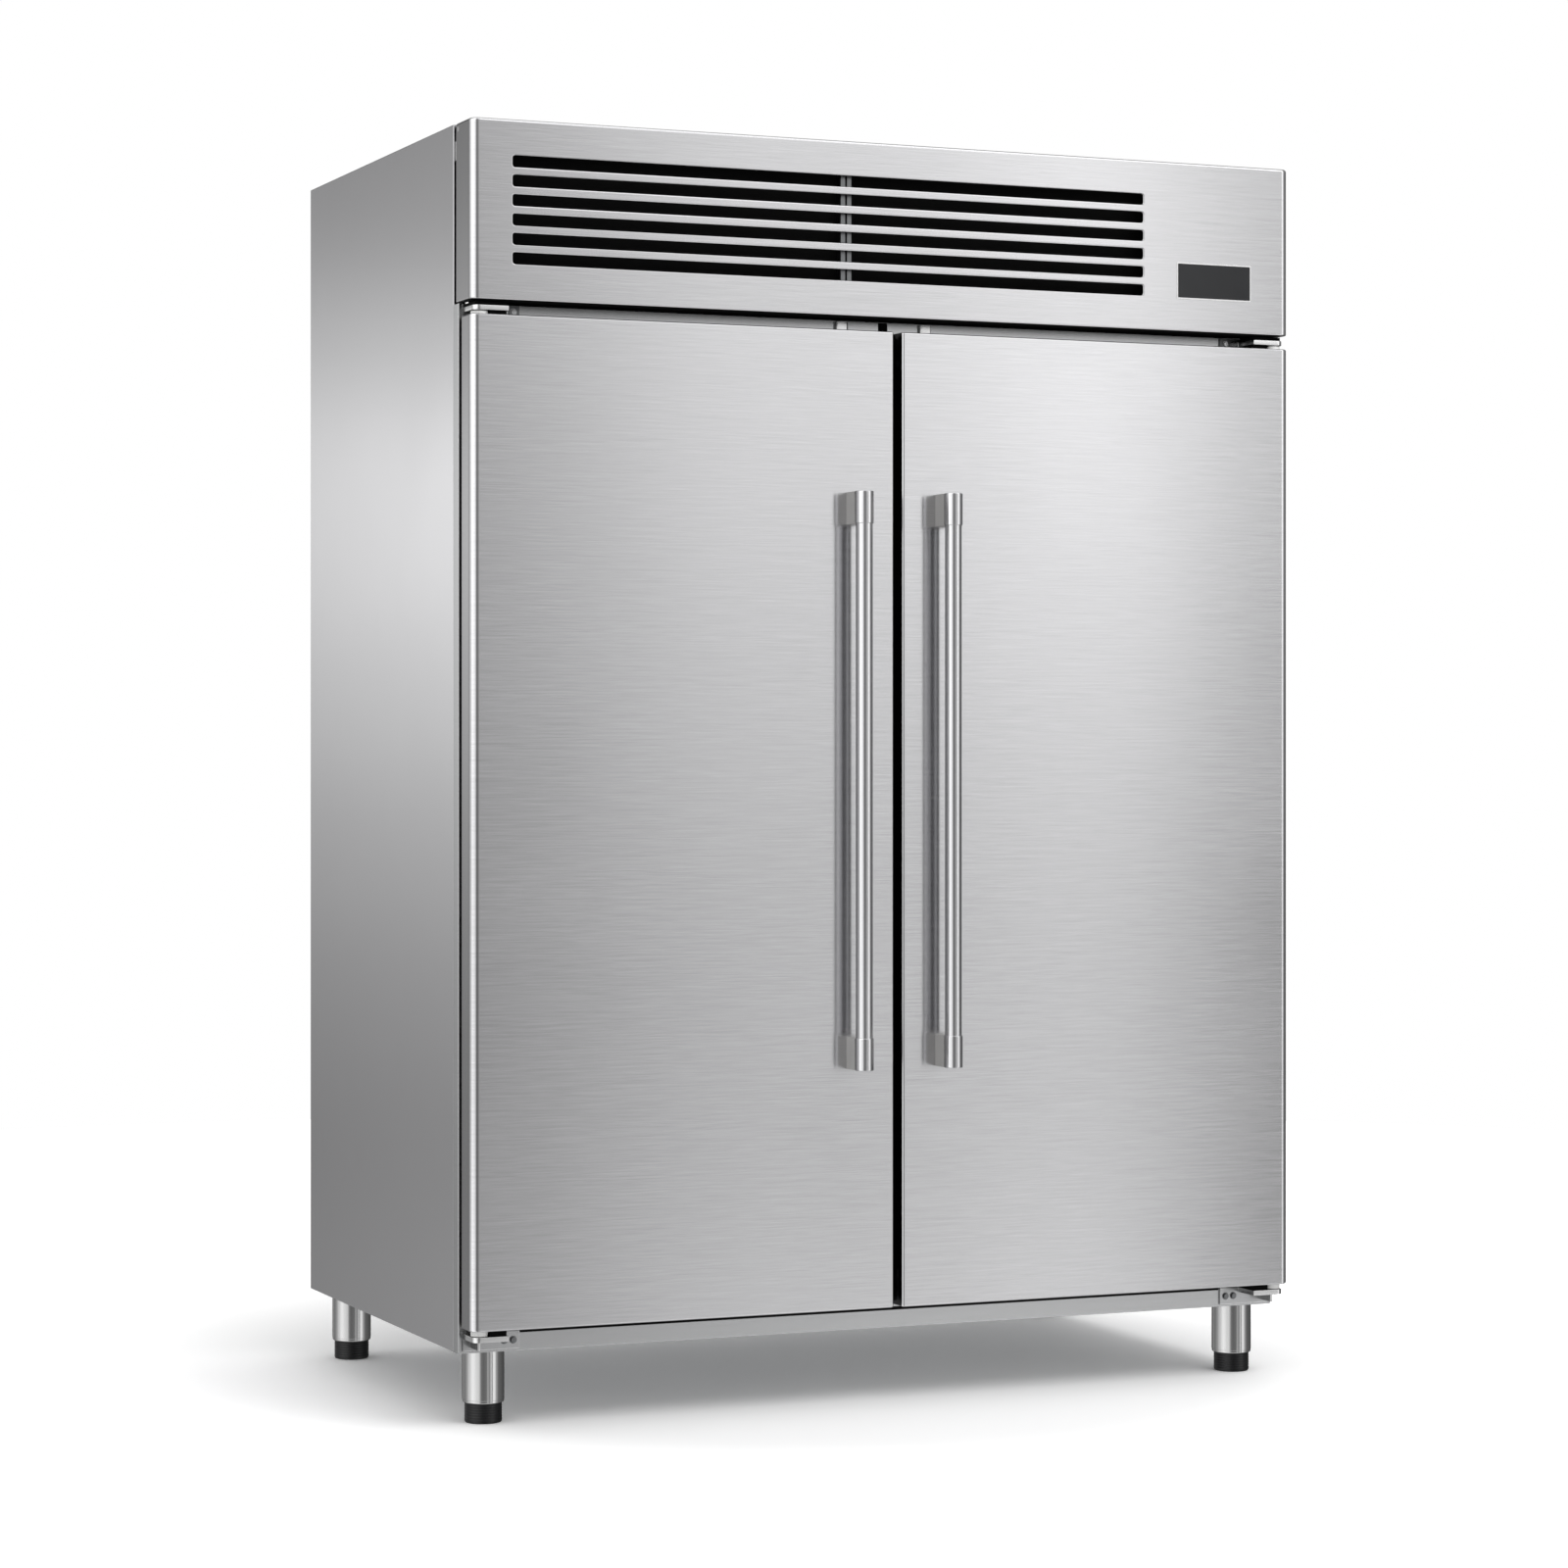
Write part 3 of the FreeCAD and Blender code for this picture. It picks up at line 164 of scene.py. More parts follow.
def choose(kind, test=None):
    """In edit mode, select only the vertices, edges or faces that pass a test, or all of them."""
    bpy.ops.mesh.select_mode(type=kind)
    bpy.ops.mesh.select_all(action="DESELECT" if test else "SELECT")
    if test:
        data = bpy.context.edit_object.data
        mesh = bmesh.from_edit_mesh(data)
        for item in {"VERT": mesh.verts, "EDGE": mesh.edges, "FACE": mesh.faces}[kind]:
            if test(item):
                item.select_set(True)
        bmesh.update_edit_mesh(data)


def shape(piece, kind, test=None):
    """Open a piece in edit mode with only part of it selected."""
    pick(piece)
    bpy.ops.object.mode_set(mode="EDIT")
    choose(kind, test)


def shaded(piece):
    """Smooth shading that keeps folds crisp and flat faces flat."""
    pick(piece)
    bpy.ops.object.shade_smooth_by_angle(angle=math.radians(38))
    weighted = piece.modifiers.new("flat_faces_first", "WEIGHTED_NORMAL")
    weighted.keep_sharp = True
    bpy.ops.object.modifier_apply(modifier=weighted.name)
    return piece


def softened(piece, width, segments=2):
    """Round every fold and edge sharper than 30 degrees, then shade the piece."""
    pick(piece)
    rounding = piece.modifiers.new("rounding", "BEVEL")
    rounding.width = width
    rounding.segments = segments
    rounding.angle_limit = math.radians(30)
    rounding.harden_normals = False
    bpy.ops.object.modifier_apply(modifier=rounding.name)
    return shaded(piece)


def joined(name, *pieces):
    """One piece made of several."""
    pick(*pieces)
    bpy.ops.object.join()
    return settle(name)


def fixed(piece, body, slot, *replaced, look=None):
    """Give a piece its finish and its body, and say which CAD nodes it stands for."""
    piece.data.materials.clear()
    piece.data.materials.append(finishes[look or slot])
    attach(piece, body)
    if replaced:
        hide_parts(*replaced)
    return piece


def copied(node, name):
    """A clean copy of a CAD node's mesh, merged and with whole flat faces."""
    piece = bpy.data.objects.new(name, nodes[node].data.copy())
    piece.data.name = name
    bpy.context.scene.collection.objects.link(piece)
    shape(piece, "FACE")
    bpy.ops.mesh.remove_doubles(threshold=0.00001)
    bpy.ops.mesh.dissolve_limited(angle_limit=math.radians(0.6))
    bpy.ops.object.mode_set(mode="OBJECT")
    return piece


def dressed(node, folds=None, fold_round=None, edge=None, look=None):
    """A finished copy of a CAD node, with its main folds and then its edges rounded."""
    sizes = bpy.context.scene.freezer_sizes
    piece = copied(node, "dressed_" + node)
    if folds:
        shape(piece, "EDGE", folds)
        bpy.ops.mesh.bevel(offset=fold_round or sizes.fold_round, segments=3, affect="EDGES")
        bpy.ops.object.mode_set(mode="OBJECT")
    softened(piece, sizes.cut_round if edge is None else edge)
    return fixed(piece, body_of[node], slot_of[node], node, look=look)


# Materials

def add(tree, kind, feeds=None, **settings):
    """A node with its settings, and with values or links fed to its inputs."""
    node = tree.nodes.new(kind)
    for key, value in settings.items():
        setattr(node, key, value)
    for key, value in (feeds or {}).items():
        if isinstance(value, bpy.types.NodeSocket):
            tree.links.new(value, node.inputs[key])
        else:
            node.inputs[key].default_value = value
    return node


def maths(tree, operation, first, second=0.0):
    return add(tree, "ShaderNodeMath", {0: first, 1: second}, operation=operation).outputs[0]


def ranged(tree, value, low, high, start=0.0, end=1.0):
    """A value moved from one range to another."""
    feeds = {"Value": value, "From Min": start, "From Max": end, "To Min": low, "To Max": high}
    return add(tree, "ShaderNodeMapRange", feeds).outputs[0]


def mixed(tree, mask, first, second):
    """Two colours mixed by a mask."""
    return add(tree, "ShaderNodeMix", {0: mask, 6: first, 7: second}, data_type="RGBA").outputs[2]


def blended(tree, mask, first, second):
    """Two values mixed by a mask."""
    return add(tree, "ShaderNodeMix", {0: mask, 2: first, 3: second}).outputs[0]


def group(name, inputs, outputs):
    """An empty shader node group with named sockets."""
    tree = bpy.data.node_groups.new(name, "ShaderNodeTree")
    for label, kind, value in inputs:
        socket = tree.interface.new_socket(label, in_out="INPUT", socket_type=kind)
        socket.default_value = value
    for label in outputs:
        tree.interface.new_socket(label, in_out="OUTPUT", socket_type="NodeSocketFloat")
    return tree, tree.nodes.new("NodeGroupInput").outputs, tree.nodes.new("NodeGroupOutput")


def noise(tree, place, scale, detail):
    feeds = {"Vector": place, "Scale": scale, "Detail": detail, "Roughness": 0.6}
    return add(tree, "ShaderNodeTexNoise", feeds).outputs["Fac"]


def stretched(tree, place, stretch):
    return add(tree, "ShaderNodeVectorMath", {0: place, 1: stretch}, operation="MULTIPLY").outputs[0]


def grain_group():
    """Brush lines: long thin streaks, with a slow cloud over the whole sheet."""
    tree, given, out = group("brushed_grain", [("Stretch", "NodeSocketVector", (8.0, 8.0, 700.0))],
                             ["Streaks", "Cloud"])
    place = add(tree, "ShaderNodeTexCoord").outputs["Object"]
    along = stretched(tree, place, given["Stretch"])
    coarse = noise(tree, along, 1.0, 2.0)
    fine = noise(tree, along, 2.6, 2.0)
    both = maths(tree, "MULTIPLY", maths(tree, "ADD", coarse, fine), 0.5)
    tree.links.new(ranged(tree, both, 0.0, 1.0, 0.32, 0.68), out.inputs["Streaks"])
    tree.links.new(noise(tree, place, 3.2, 2.0), out.inputs["Cloud"])


def moulded_group():
    """Fine pebbled grain of a moulded surface, with slow dulling."""
    tree, given, out = group("moulded_grain", [("Scale", "NodeSocketFloat", 900.0)], ["Height", "Dulling"])
    place = add(tree, "ShaderNodeTexCoord").outputs["Object"]
    tree.links.new(noise(tree, place, given["Scale"], 3.0), out.inputs["Height"])
    tree.links.new(noise(tree, place, 22.0, 4.0), out.inputs["Dulling"])


def spangle_group():
    """Crystals of galvanised sheet."""
    tree, given, out = group("zinc_spangle", [("Scale", "NodeSocketFloat", 70.0)], ["Crystal"])
    place = add(tree, "ShaderNodeTexCoord").outputs["Object"]
    warp = noise(tree, place, 40.0, 2.0)
    bent = add(tree, "ShaderNodeVectorMath", {0: warp, 1: (0.01, 0.01, 0.01), 2: place},
               operation="MULTIPLY_ADD")
    cells = add(tree, "ShaderNodeTexVoronoi", {"Vector": bent.outputs[0], "Scale": given["Scale"]})
    split = add(tree, "ShaderNodeSeparateColor", {0: cells.outputs["Color"]})
    tree.links.new(split.outputs[0], out.inputs["Crystal"])


def effect(tree, name, **values):
    """One of the shared effects, placed in a material with its own values."""
    node = tree.nodes.new("ShaderNodeGroup")
    node.node_tree = bpy.data.node_groups[name]
    for key, value in values.items():
        node.inputs[key.capitalize()].default_value = value
    return node.outputs


def bumped(tree, height, distance):
    """Surface normals for a height from 0 to 1, where 1 stands for a distance in metres."""
    feeds = {"Height": height, "Distance": distance, "Strength": 1.0}
    return add(tree, "ShaderNodeBump", feeds).outputs[0]


def material(slot, **plain):
    """A new material for a slot, with the plain values on the shader's own sockets."""
    made = bpy.data.materials.new(slot)
    made.use_nodes = True
    tree = made.node_tree
    shader = tree.nodes["Principled BSDF"]
    for key, value in plain.items():
        shader.inputs[key.replace("_", " ").title().replace("Ior", "IOR")].default_value = value
    finishes[slot] = made
    return tree, shader.inputs


def shades(color, spread):
    """A darker and a lighter shade of a colour."""
    return [tuple(c * (1 + way * spread) for c in color) + (1.0,) for way in (-1, 1)]


def steel(slot, color, roughness, stretch, across=(0.02, 0.03, 1.0), stroke=0.8, spread=0.05,
          depth=0.000004, return_shade=None):
    """Brushed steel: grain in its colour, gloss and surface, with the highlight drawn across it.

    With a share given for the returns, faces turned fully sideways, such as a panel's folded edges, take
    that share of the colour as painted shade.
    """
    tree, shader = material(slot, metallic=1.0, anisotropic=stroke)
    grain = effect(tree, "brushed_grain", stretch=stretch)
    low, high = shades(color, spread)
    tone = mixed(tree, grain["Streaks"], low, high)
    # Painted shade: faces turned sideways are darkened to the given share of the colour
    if return_shade:
        facing = add(tree, "ShaderNodeTexCoord").outputs["Normal"]
        turned_away = add(tree, "ShaderNodeSeparateXYZ", {0: facing}).outputs["X"]
        sideways = ranged(tree, maths(tree, "ABSOLUTE", turned_away), 0.0, 1.0, 0.965, 0.999)
        shaded_return = tuple(c * return_shade for c in color) + (1.0,)
        tone = mixed(tree, sideways, tone, shaded_return)
    tree.links.new(tone, shader["Base Color"])
    varied = maths(tree, "ADD", ranged(tree, grain["Streaks"], -0.015, 0.015),
                   ranged(tree, grain["Cloud"], roughness - 0.008, roughness + 0.008, 0.3, 0.7))
    tree.links.new(varied, shader["Roughness"])
    tree.links.new(bumped(tree, grain["Streaks"], depth), shader["Normal"])
    if stroke:
        way = add(tree, "ShaderNodeVectorTransform", {0: across}, vector_type="VECTOR",
                  convert_from="OBJECT", convert_to="WORLD")
        tree.links.new(way.outputs[0], shader["Tangent"])


def coated(slot, color, roughness, scale=900.0, depth=0.00005, spread=0.06, **plain):
    """A moulded, painted or coated surface with its fine grain."""
    tree, shader = material(slot, **plain)
    skin = effect(tree, "moulded_grain", scale=scale)
    low, high = shades(color, spread)
    tree.links.new(mixed(tree, skin["Dulling"], low, high), shader["Base Color"])
    tree.links.new(ranged(tree, skin["Dulling"], roughness - 0.06, roughness + 0.06, 0.3, 0.7),
                   shader["Roughness"])
    tree.links.new(bumped(tree, skin["Height"], depth), shader["Normal"])


def galvanised(slot, color, roughness):
    """Zinc-coated sheet with its spangle."""
    tree, shader = material(slot, metallic=1.0)
    zinc = effect(tree, "zinc_spangle", scale=130.0)
    skin = effect(tree, "moulded_grain", scale=500.0)
    low, high = shades(color, 0.06)
    tree.links.new(mixed(tree, zinc["Crystal"], low, high), shader["Base Color"])
    tree.links.new(ranged(tree, zinc["Crystal"], roughness - 0.04, roughness + 0.04), shader["Roughness"])
    tree.links.new(bumped(tree, skin["Height"], 0.00002), shader["Normal"])


class FREEZER_OT_finishes(bpy.types.Operator):
    """Builds every finish and gives each CAD node its own"""

    bl_idname = "freezer.finishes"
    bl_label = "Finishes"

    def execute(self, context):
        colors = context.scene.freezer_finishes
        grain_group()
        moulded_group()
        spangle_group()
        level, upright, plain = (8.0, 8.0, 720.0), (700.0, 700.0, 7.0), (60.0, 60.0, 60.0)
        side_grain, fins = (7.0, 700.0, 7.0), (700.0, 2.0, 2.0)
        front_grain = {"stroke": 0.7, "spread": 0.08, "depth": 0.0000055}
        # The door and fascia steels paint shade on their sideways folded returns
        steel("brushed_panel", colors.steel, 0.17, level, return_shade=0.48, **front_grain)
        steel("fascia_steel", (0.653, 0.651, 0.662), 0.17, level, return_shade=0.52, **front_grain)
        steel("side_panel", colors.steel, 0.17, side_grain, (0.03, 1.0, 0.02), 0.5)
        steel("inner_steel", colors.inner_steel, 0.30, level, stroke=0.5)
        # Painted shade: a darker copy of the door steel for the front frame, its head plates and hinge
        # parts that sit in shade
        steel("shaded_frame_steel", (0.58, 0.585, 0.59), 0.24, level, stroke=0.6)
        # Painted shade: a dark grey copy of the steel for the strap seen inside the slots and for hinge
        # parts in shade
        steel("shaded_strap_steel", (0.22, 0.225, 0.23), 0.35, upright, stroke=0.0)
        steel("handle_steel", colors.steel, 0.20, upright)
        steel("hinge_steel", (0.80, 0.80, 0.80), 0.22, plain, stroke=0.0, spread=0.02)
        steel("leg_steel", (0.60, 0.60, 0.60), 0.15, upright, stroke=0.8)
        galvanised("zinc_sheet", (0.55, 0.56, 0.57), 0.42)
        steel("coil_fins", (0.62, 0.63, 0.64), 0.36, fins, stroke=0.0, spread=0.5, depth=0.0004)
        steel("copper_pipe", (0.60, 0.30, 0.17), 0.30, plain, stroke=0.0, spread=0.08)
        steel("guard_wire", (0.55, 0.56, 0.57), 0.28, plain, stroke=0.0)
        coated("post_steel", (0.62, 0.612, 0.60), 0.38, 900.0, 0.00003, 0.05, metallic=0.4)
        coated("foam", (0.62, 0.56, 0.38), 0.8, 400.0, 0.0004, 0.1)
        # Painted shade: near-black for the strips, blocks and filter put where there is shade
        coated("shade_black", (0.003, 0.003, 0.003), 0.85, 600.0, 0.0001, specular_ior_level=0.1)
        coated("strip_plastic", (0.55, 0.56, 0.57), 0.4)
        coated("gasket_rubber", colors.rubber, 0.55, 1400.0)
        coated("foot_plastic", colors.black, 0.36, 1200.0, specular_ior_level=0.3)
        coated("white_plastic", (0.86, 0.86, 0.85), 0.38, 1200.0)
        coated("compressor_paint", (0.014, 0.014, 0.015), 0.32, 700.0)
        coated("motor_paint", (0.04, 0.042, 0.045), 0.38, 800.0)
        coated("fan_plastic", (0.02, 0.02, 0.021), 0.4, 1100.0)
        coated("shelf_coating", (0.62, 0.63, 0.63), 0.34, 900.0)
        coated("grey_housing", (0.38, 0.385, 0.39), 0.45, 900.0)
        coated("display_window", (0.016, 0.0165, 0.018), 0.12, 300.0, 0.000003, ior=1.38)
        for node, source in nodes.items():
            source.data.materials.clear()
            source.data.materials.append(finishes[slot_of[node]])
        return {"FINISHED"}


# Studio

class FREEZER_OT_stage(bpy.types.Operator):
    """Sets the camera, the floor, the lamp and the pale studio around"""

    bl_idname = "freezer.stage"
    bl_label = "Studio"

    def execute(self, context):
        scene = context.scene
        scene.view_settings.view_transform = "Standard"
        bpy.ops.object.camera_add(location=(-2.584, -5.937, 1.020),
                                  rotation=(math.radians(90), 0, math.radians(-22.61)))
        camera = bpy.context.object
        camera.name = "photo_camera"
        camera.data.lens = 90.18
        camera.data.sensor_width = 36.0
        camera.data.shift_x = 0.03125
        camera.data.shift_y = -0.0228
        camera.data.clip_end = 100.0
        scene.camera = camera
        studio_world(scene)
        studio_floor()
        bpy.ops.object.light_add(type="AREA", location=(1.2, -2.6, 3.6))
        lamp = bpy.context.object
        lamp.name = "soft_lamp"
        lamp.data.shape = "DISK"
        lamp.data.size = 2.6
        lamp.data.energy = 60.0
        lamp.visible_glossy = False
        lit_point = Vector((0, 0, 0.9))
        way = lit_point - lamp.location
        lamp.rotation_euler = way.to_track_quat("-Z", "Y").to_euler()
        return {"FINISHED"}


def direct_rays(tree, path):
    """1 for rays from the camera or through glass."""
    return maths(tree, "MAXIMUM", path["Is Camera Ray"], path["Is Transmission Ray"])


# Light levels of the studio as the steel mirrors it: a ring by the bearing in degrees from straight in
# front, and its share by the rise in degrees over level, towards the front and towards the back
RING = [(-180, 0.34), (-170, 0.36), (-166, 0.50), (-163.4, 0.80), (-161.4, 1.12), (-158, 1.35),
        (-152, 0.85), (-140, 0.60), (-118, 0.70), (-102, 1.10), (-80, 1.70), (-46, 1.28), (-27, 0.28),
        (-18, 0.24), (-2, 0.28), (8, 0.72), (14, 0.44), (18.6, 0.43), (20.4, 0.60), (22.2, 1.06),
        (24.8, 0.82), (26.6, 1.06), (28.5, 1.68), (30.6, 0.24), (34, 0.95), (38, 1.60), (47, 1.50),
        (58, 0.62), (76, 0.22), (112, 0.14), (160, 0.16), (180, 0.34)]
FRONT_RISE = [(-90, 0.9), (-50, 0.9), (-28, 0.95), (-16, 0.90), (-9, 0.90), (-6.5, 0.58), (-3.5, 0.53),
              (-0.5, 0.68), (2, 0.93), (5, 1.10), (12, 1.10), (18, 1.45), (32, 1.55), (60, 1.7), (90, 1.7)]
SIDE_RISE = [(-90, 0.60), (-30, 0.48), (-12, 0.38), (-8, 0.34), (-5.5, 0.31), (-3.5, 0.38), (-1.5, 0.52),
             (0.8, 0.76), (2.6, 1.0), (4.2, 1.06), (6, 0.68), (7.5, 0.40), (10, 0.32), (30, 0.42),
             (60, 0.9), (90, 1.5)]
BRIGHTEST = 1.7


def ramp(tree, value, stops, low, high):
    """Light level along a run of (position, level) stops."""
    node = add(tree, "ShaderNodeValToRGB", {0: ranged(tree, value, 0.0, 1.0, low, high)})
    colors = node.color_ramp
    colors.interpolation = "EASE"
    for i, (at, level) in enumerate(stops):
        spot = (at - low) / (high - low)
        stop = colors.elements[i] if i < 2 else colors.elements.new(spot)
        stop.position = spot
        stop.color = (level / BRIGHTEST,) * 3 + (1.0,)
    return maths(tree, "MULTIPLY", node.outputs[0], BRIGHTEST)


def dark_card(tree, bearing, rise):
    """What a soft dark card low on the right leaves of the light."""
    card_bearing, solid, faded, left_over = 31.5, 0.5, 3.3, 0.52
    off_card = maths(tree, "ABSOLUTE", maths(tree, "SUBTRACT", bearing, card_bearing))
    card = maths(tree, "MULTIPLY", ranged(tree, off_card, 1.0, 0.0, solid, faded),
                 ranged(tree, rise, 1.0, 0.0, -1.5, 1.5))
    return ranged(tree, card, 1.0, left_over)


def studio_world(scene):
    """White for the camera, a ring of soft boxes for the metal and an even light for the rest."""
    world = bpy.data.worlds.new("studio")
    scene.world = world
    world.use_nodes = True
    tree = world.node_tree
    tree.nodes.clear()
    way = add(tree, "ShaderNodeTexCoord").outputs["Generated"]
    part = add(tree, "ShaderNodeSeparateXYZ", {0: way}).outputs
    front = maths(tree, "MULTIPLY", part["Y"], -1.0)
    to_degrees = math.degrees(1)
    bearing = maths(tree, "MULTIPLY", maths(tree, "ARCTAN2", part["X"], front), to_degrees)
    rise = maths(tree, "MULTIPLY", maths(tree, "ARCSINE", part["Z"]), to_degrees)
    overhead, even, twice_mirrored = 0.8, 0.75, 0.5
    ring = ramp(tree, bearing, RING, -180, 180)
    steep = ranged(tree, maths(tree, "ABSOLUTE", rise), 0.0, 1.0, 40.0, 80.0)
    ring = blended(tree, steep, ring, overhead)
    aside = ranged(tree, maths(tree, "ABSOLUTE", bearing), 0.0, 1.0, 110.0, 145.0)
    lift = blended(tree, aside, ramp(tree, rise, FRONT_RISE, -90, 90), ramp(tree, rise, SIDE_RISE, -90, 90))
    bright = maths(tree, "MULTIPLY", ring, lift)
    bright = maths(tree, "MULTIPLY", bright, dark_card(tree, bearing, rise))
    path = add(tree, "ShaderNodeLightPath").outputs
    mirrored = maths(tree, "GREATER_THAN", path["Glossy Depth"], 1.5)
    bright = maths(tree, "MULTIPLY", bright, ranged(tree, mirrored, 1.0, twice_mirrored))
    strength = blended(tree, path["Is Glossy Ray"], even, bright)
    strength = blended(tree, direct_rays(tree, path), strength, 1.0)
    light = add(tree, "ShaderNodeBackground", {"Color": (1, 1, 1, 1), "Strength": strength})
    add(tree, "ShaderNodeOutputWorld", {0: light.outputs[0]})


def studio_floor():
    """A pale round floor that shows its shadow near the freezer; painted light raises its tone further out,
    so it ends in the white around it.
    """
    deselect()
    bpy.ops.mesh.primitive_circle_add(vertices=96, radius=4.5, fill_type="NGON")
    floor = settle("studio_floor")
    made = bpy.data.materials.new("studio_floor")
    made.use_nodes = True
    tree = made.node_tree
    tree.nodes.clear()
    path = add(tree, "ShaderNodeLightPath").outputs
    place = add(tree, "ShaderNodeTexCoord").outputs["Object"]
    away = add(tree, "ShaderNodeVectorMath", {0: place}, operation="LENGTH").outputs["Value"]
    # Painted light: for camera rays the floor's tone rises with distance, whitening shadow far out and
    # keeping it near the freezer
    pale, near_tone, far_tone = ((level, level, level, 1) for level in (0.80, 1.08, 1.7))
    painted_falloff = mixed(tree, ranged(tree, away, 0.0, 1.0, 0.72, 1.3), near_tone, far_tone)
    tone = mixed(tree, direct_rays(tree, path), pale, painted_falloff)
    paper = add(tree, "ShaderNodeBsdfDiffuse", {"Color": tone})
    add(tree, "ShaderNodeOutputMaterial", {0: paper.outputs[0]})
    floor.data.materials.append(made)
    floor.visible_glossy = False


# The freezer's pieces

# An edge counts as a fold when its faces turn by more than this, in radians
FOLD = 1.0


def near(value, target, within=0.0004):
    """Whether two coordinates are the same to a fraction of a millimetre."""
    return abs(value - target) < within


def side_folds(face):
    """Test for the folds round a side skin's outer face."""
    return lambda edge: all(near(v.co.x, face) for v in edge.verts) and edge.calc_face_angle(0) > FOLD


def frame_folds(low, high):
    """Test for the folds along the front frame's two sides and its lower rail."""
    def test(edge):
        if not all(near(v.co.y, low.y) for v in edge.verts) or edge.calc_face_angle(0) <= FOLD:
            return False
        return near(abs(middle(edge).x), high.x) or near(middle(edge).z, low.z)
    return test


def outer_rim(*levels):
    """Test for the edges round a panel's front at some heights, corners included."""
    def test(edge):
        ends = [v.co for v in edge.verts]
        level = any(all(near(p.z, z) for p in ends) for z in levels)
        if not level or len(edge.link_faces) != 2:
            return False
        upright = [f.normal for f in edge.link_faces if abs(f.normal.z) < 0.3]
        return len(upright) == 1 and upright[0].y < 0.3
    return test


def slot_rim(face):
    """Test for the front edges of the openings in a panel, which roll over into their lips."""
    def test(edge):
        if not all(near(v.co.y, face, 0.00005) for v in edge.verts) or len(edge.link_faces) != 2:
            return False
        return edge.calc_face_angle(0) > 1.2 * FOLD
    return test


def shade_block(name, body, slot, low, high, edge):
    """A near-black block between two corners, put where there is shade: painted shade."""
    fixed(softened(block(name, low, high), edge), body, slot, look="shade_black")


def screw_heads(name, places, way, height):
    """One piece of all the low round screw heads that hold a sheet."""
    heads = []
    for place in places:
        place = Vector(place)
        head = bar("screw", 0.0045, place, place + Vector(way) * height, 16)
        heads.append(softened(head, height * 0.6))
    fixed(joined(name, *heads), "cabinet", "hinge_steel")


class FREEZER_OT_cabinet(bpy.types.Operator):
    """Dresses the cabinet's sheets, its front frame and its liner"""

    bl_idname = "freezer.cabinet"
    bl_label = "Cabinet"

    def execute(self, context):
        for side in ("left", "right"):
            low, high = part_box("side_skin_" + side)
            dressed("side_skin_" + side, side_folds(low.x if side == "left" else high.x))
        # The front frame takes the darker steel of painted shade
        dressed("front_frame", frame_folds(*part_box("front_frame")), look="shaded_frame_steel")
        post_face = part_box("middle_post")[0].y
        # Black strips of painted shade on the middle post and under the doors
        post_strip(post_face)
        rail_buffer(post_face)
        # The head plates take the darker steel of painted shade
        dressed("post_head_plates", look="shaded_frame_steel")
        dressed("door_switches", look="hinge_steel")
        for node in ("back_skin", "bottom_skin", "deck_skin", "liner", "breaker_strip", "middle_post",
                     "top_cover", "back_grille", "cable_gland"):
            dressed(node)
        low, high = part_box("back_grille")
        places = [(high.x * share, high.y, z) for z in (low.z + 0.012, high.z - 0.014)
                  for share in (-0.966, -0.42, 0.0, 0.42, 0.966)]
        screw_heads("grille_screws", places, (0, 1, 0), 0.0009)
        return {"FINISHED"}


def post_strip(face):
    """Painted shade: a near-black strip down the middle post, with a narrower end above the doors, for the
    shade in the gap between them.
    """
    door_low, door_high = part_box("left_door_skin")
    half, narrow_half, thick, top_end = 0.012, 0.0075, 0.0012, 0.026
    top = door_high.z - 0.007
    strip = block("post_strip", (-half, face - thick, door_low.z + 0.002), (half, face, top))
    above = block("above", (-narrow_half, face - 2 * thick, top), (narrow_half, face, top + top_end))
    strip = joined("post_strip", softened(strip, 0.0004), softened(above, 0.0004))
    fixed(strip, "cabinet", "strip_plastic", look="shade_black")


def rail_buffer(face):
    """Painted shade: a black strip on the lower rail, just under the doors, that stops short of the hinges
    and stands for the shadow line under them.
    """
    hinge_reach, below_doors, thick, tall = 0.0915, 0.0075, 0.0015, 0.005
    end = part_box("bottom_hinges")[1].x - hinge_reach
    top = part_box("left_door_skin")[0].z - below_doors
    shade_block("rail_buffer", "cabinet", "gasket_rubber", (-end, face - thick, top - tall), (end, face, top),
         0.0004)


class FREEZER_OT_fascia(bpy.types.Operator):
    """Dresses the fascia flap, its strap, its display and its pivots"""

    bl_idname = "freezer.fascia"
    bl_label = "Fascia flap"

    def execute(self, context):
        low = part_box("fascia_panel")[0]
        rim, cuts = outer_rim(low.z), slot_rim(low.y)
        dressed("fascia_panel", lambda edge: rim(edge) or cuts(edge), 0.0020, look="fascia_steel")
        display_bezel(low.y)
        # The strap takes the dark grey steel of painted shade
        dressed("grille_strap", look="shaded_strap_steel")
        for node in ("display_window", "controller_box", "fascia_pivots"):
            dressed(node)
        # A near-black filter and black strips of painted shade behind the slots and above the doors
        air_filter()
        shade_strips()
        return {"FINISHED"}


def display_bezel(panel_face):
    """Bright pressed rim round the display's glass."""
    low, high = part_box("display_window")
    wide, proud, behind, pressed = 0.0024, 0.0002, 0.0004, 0.0008
    rim = block("display_bezel", (low.x - wide, low.y + proud, low.z - wide),
                (high.x + wide, panel_face + behind, high.z + wide))
    shape(rim, "FACE", lambda f: f.normal.y < -0.9)
    bpy.ops.mesh.inset(thickness=wide)
    bpy.ops.mesh.extrude_region_move(TRANSFORM_OT_translate={"value": (0, pressed, 0)})
    bpy.ops.object.mode_set(mode="OBJECT")
    softened(rim, 0.0005, 3)
    fixed(rim, "fascia_flap", "hinge_steel")


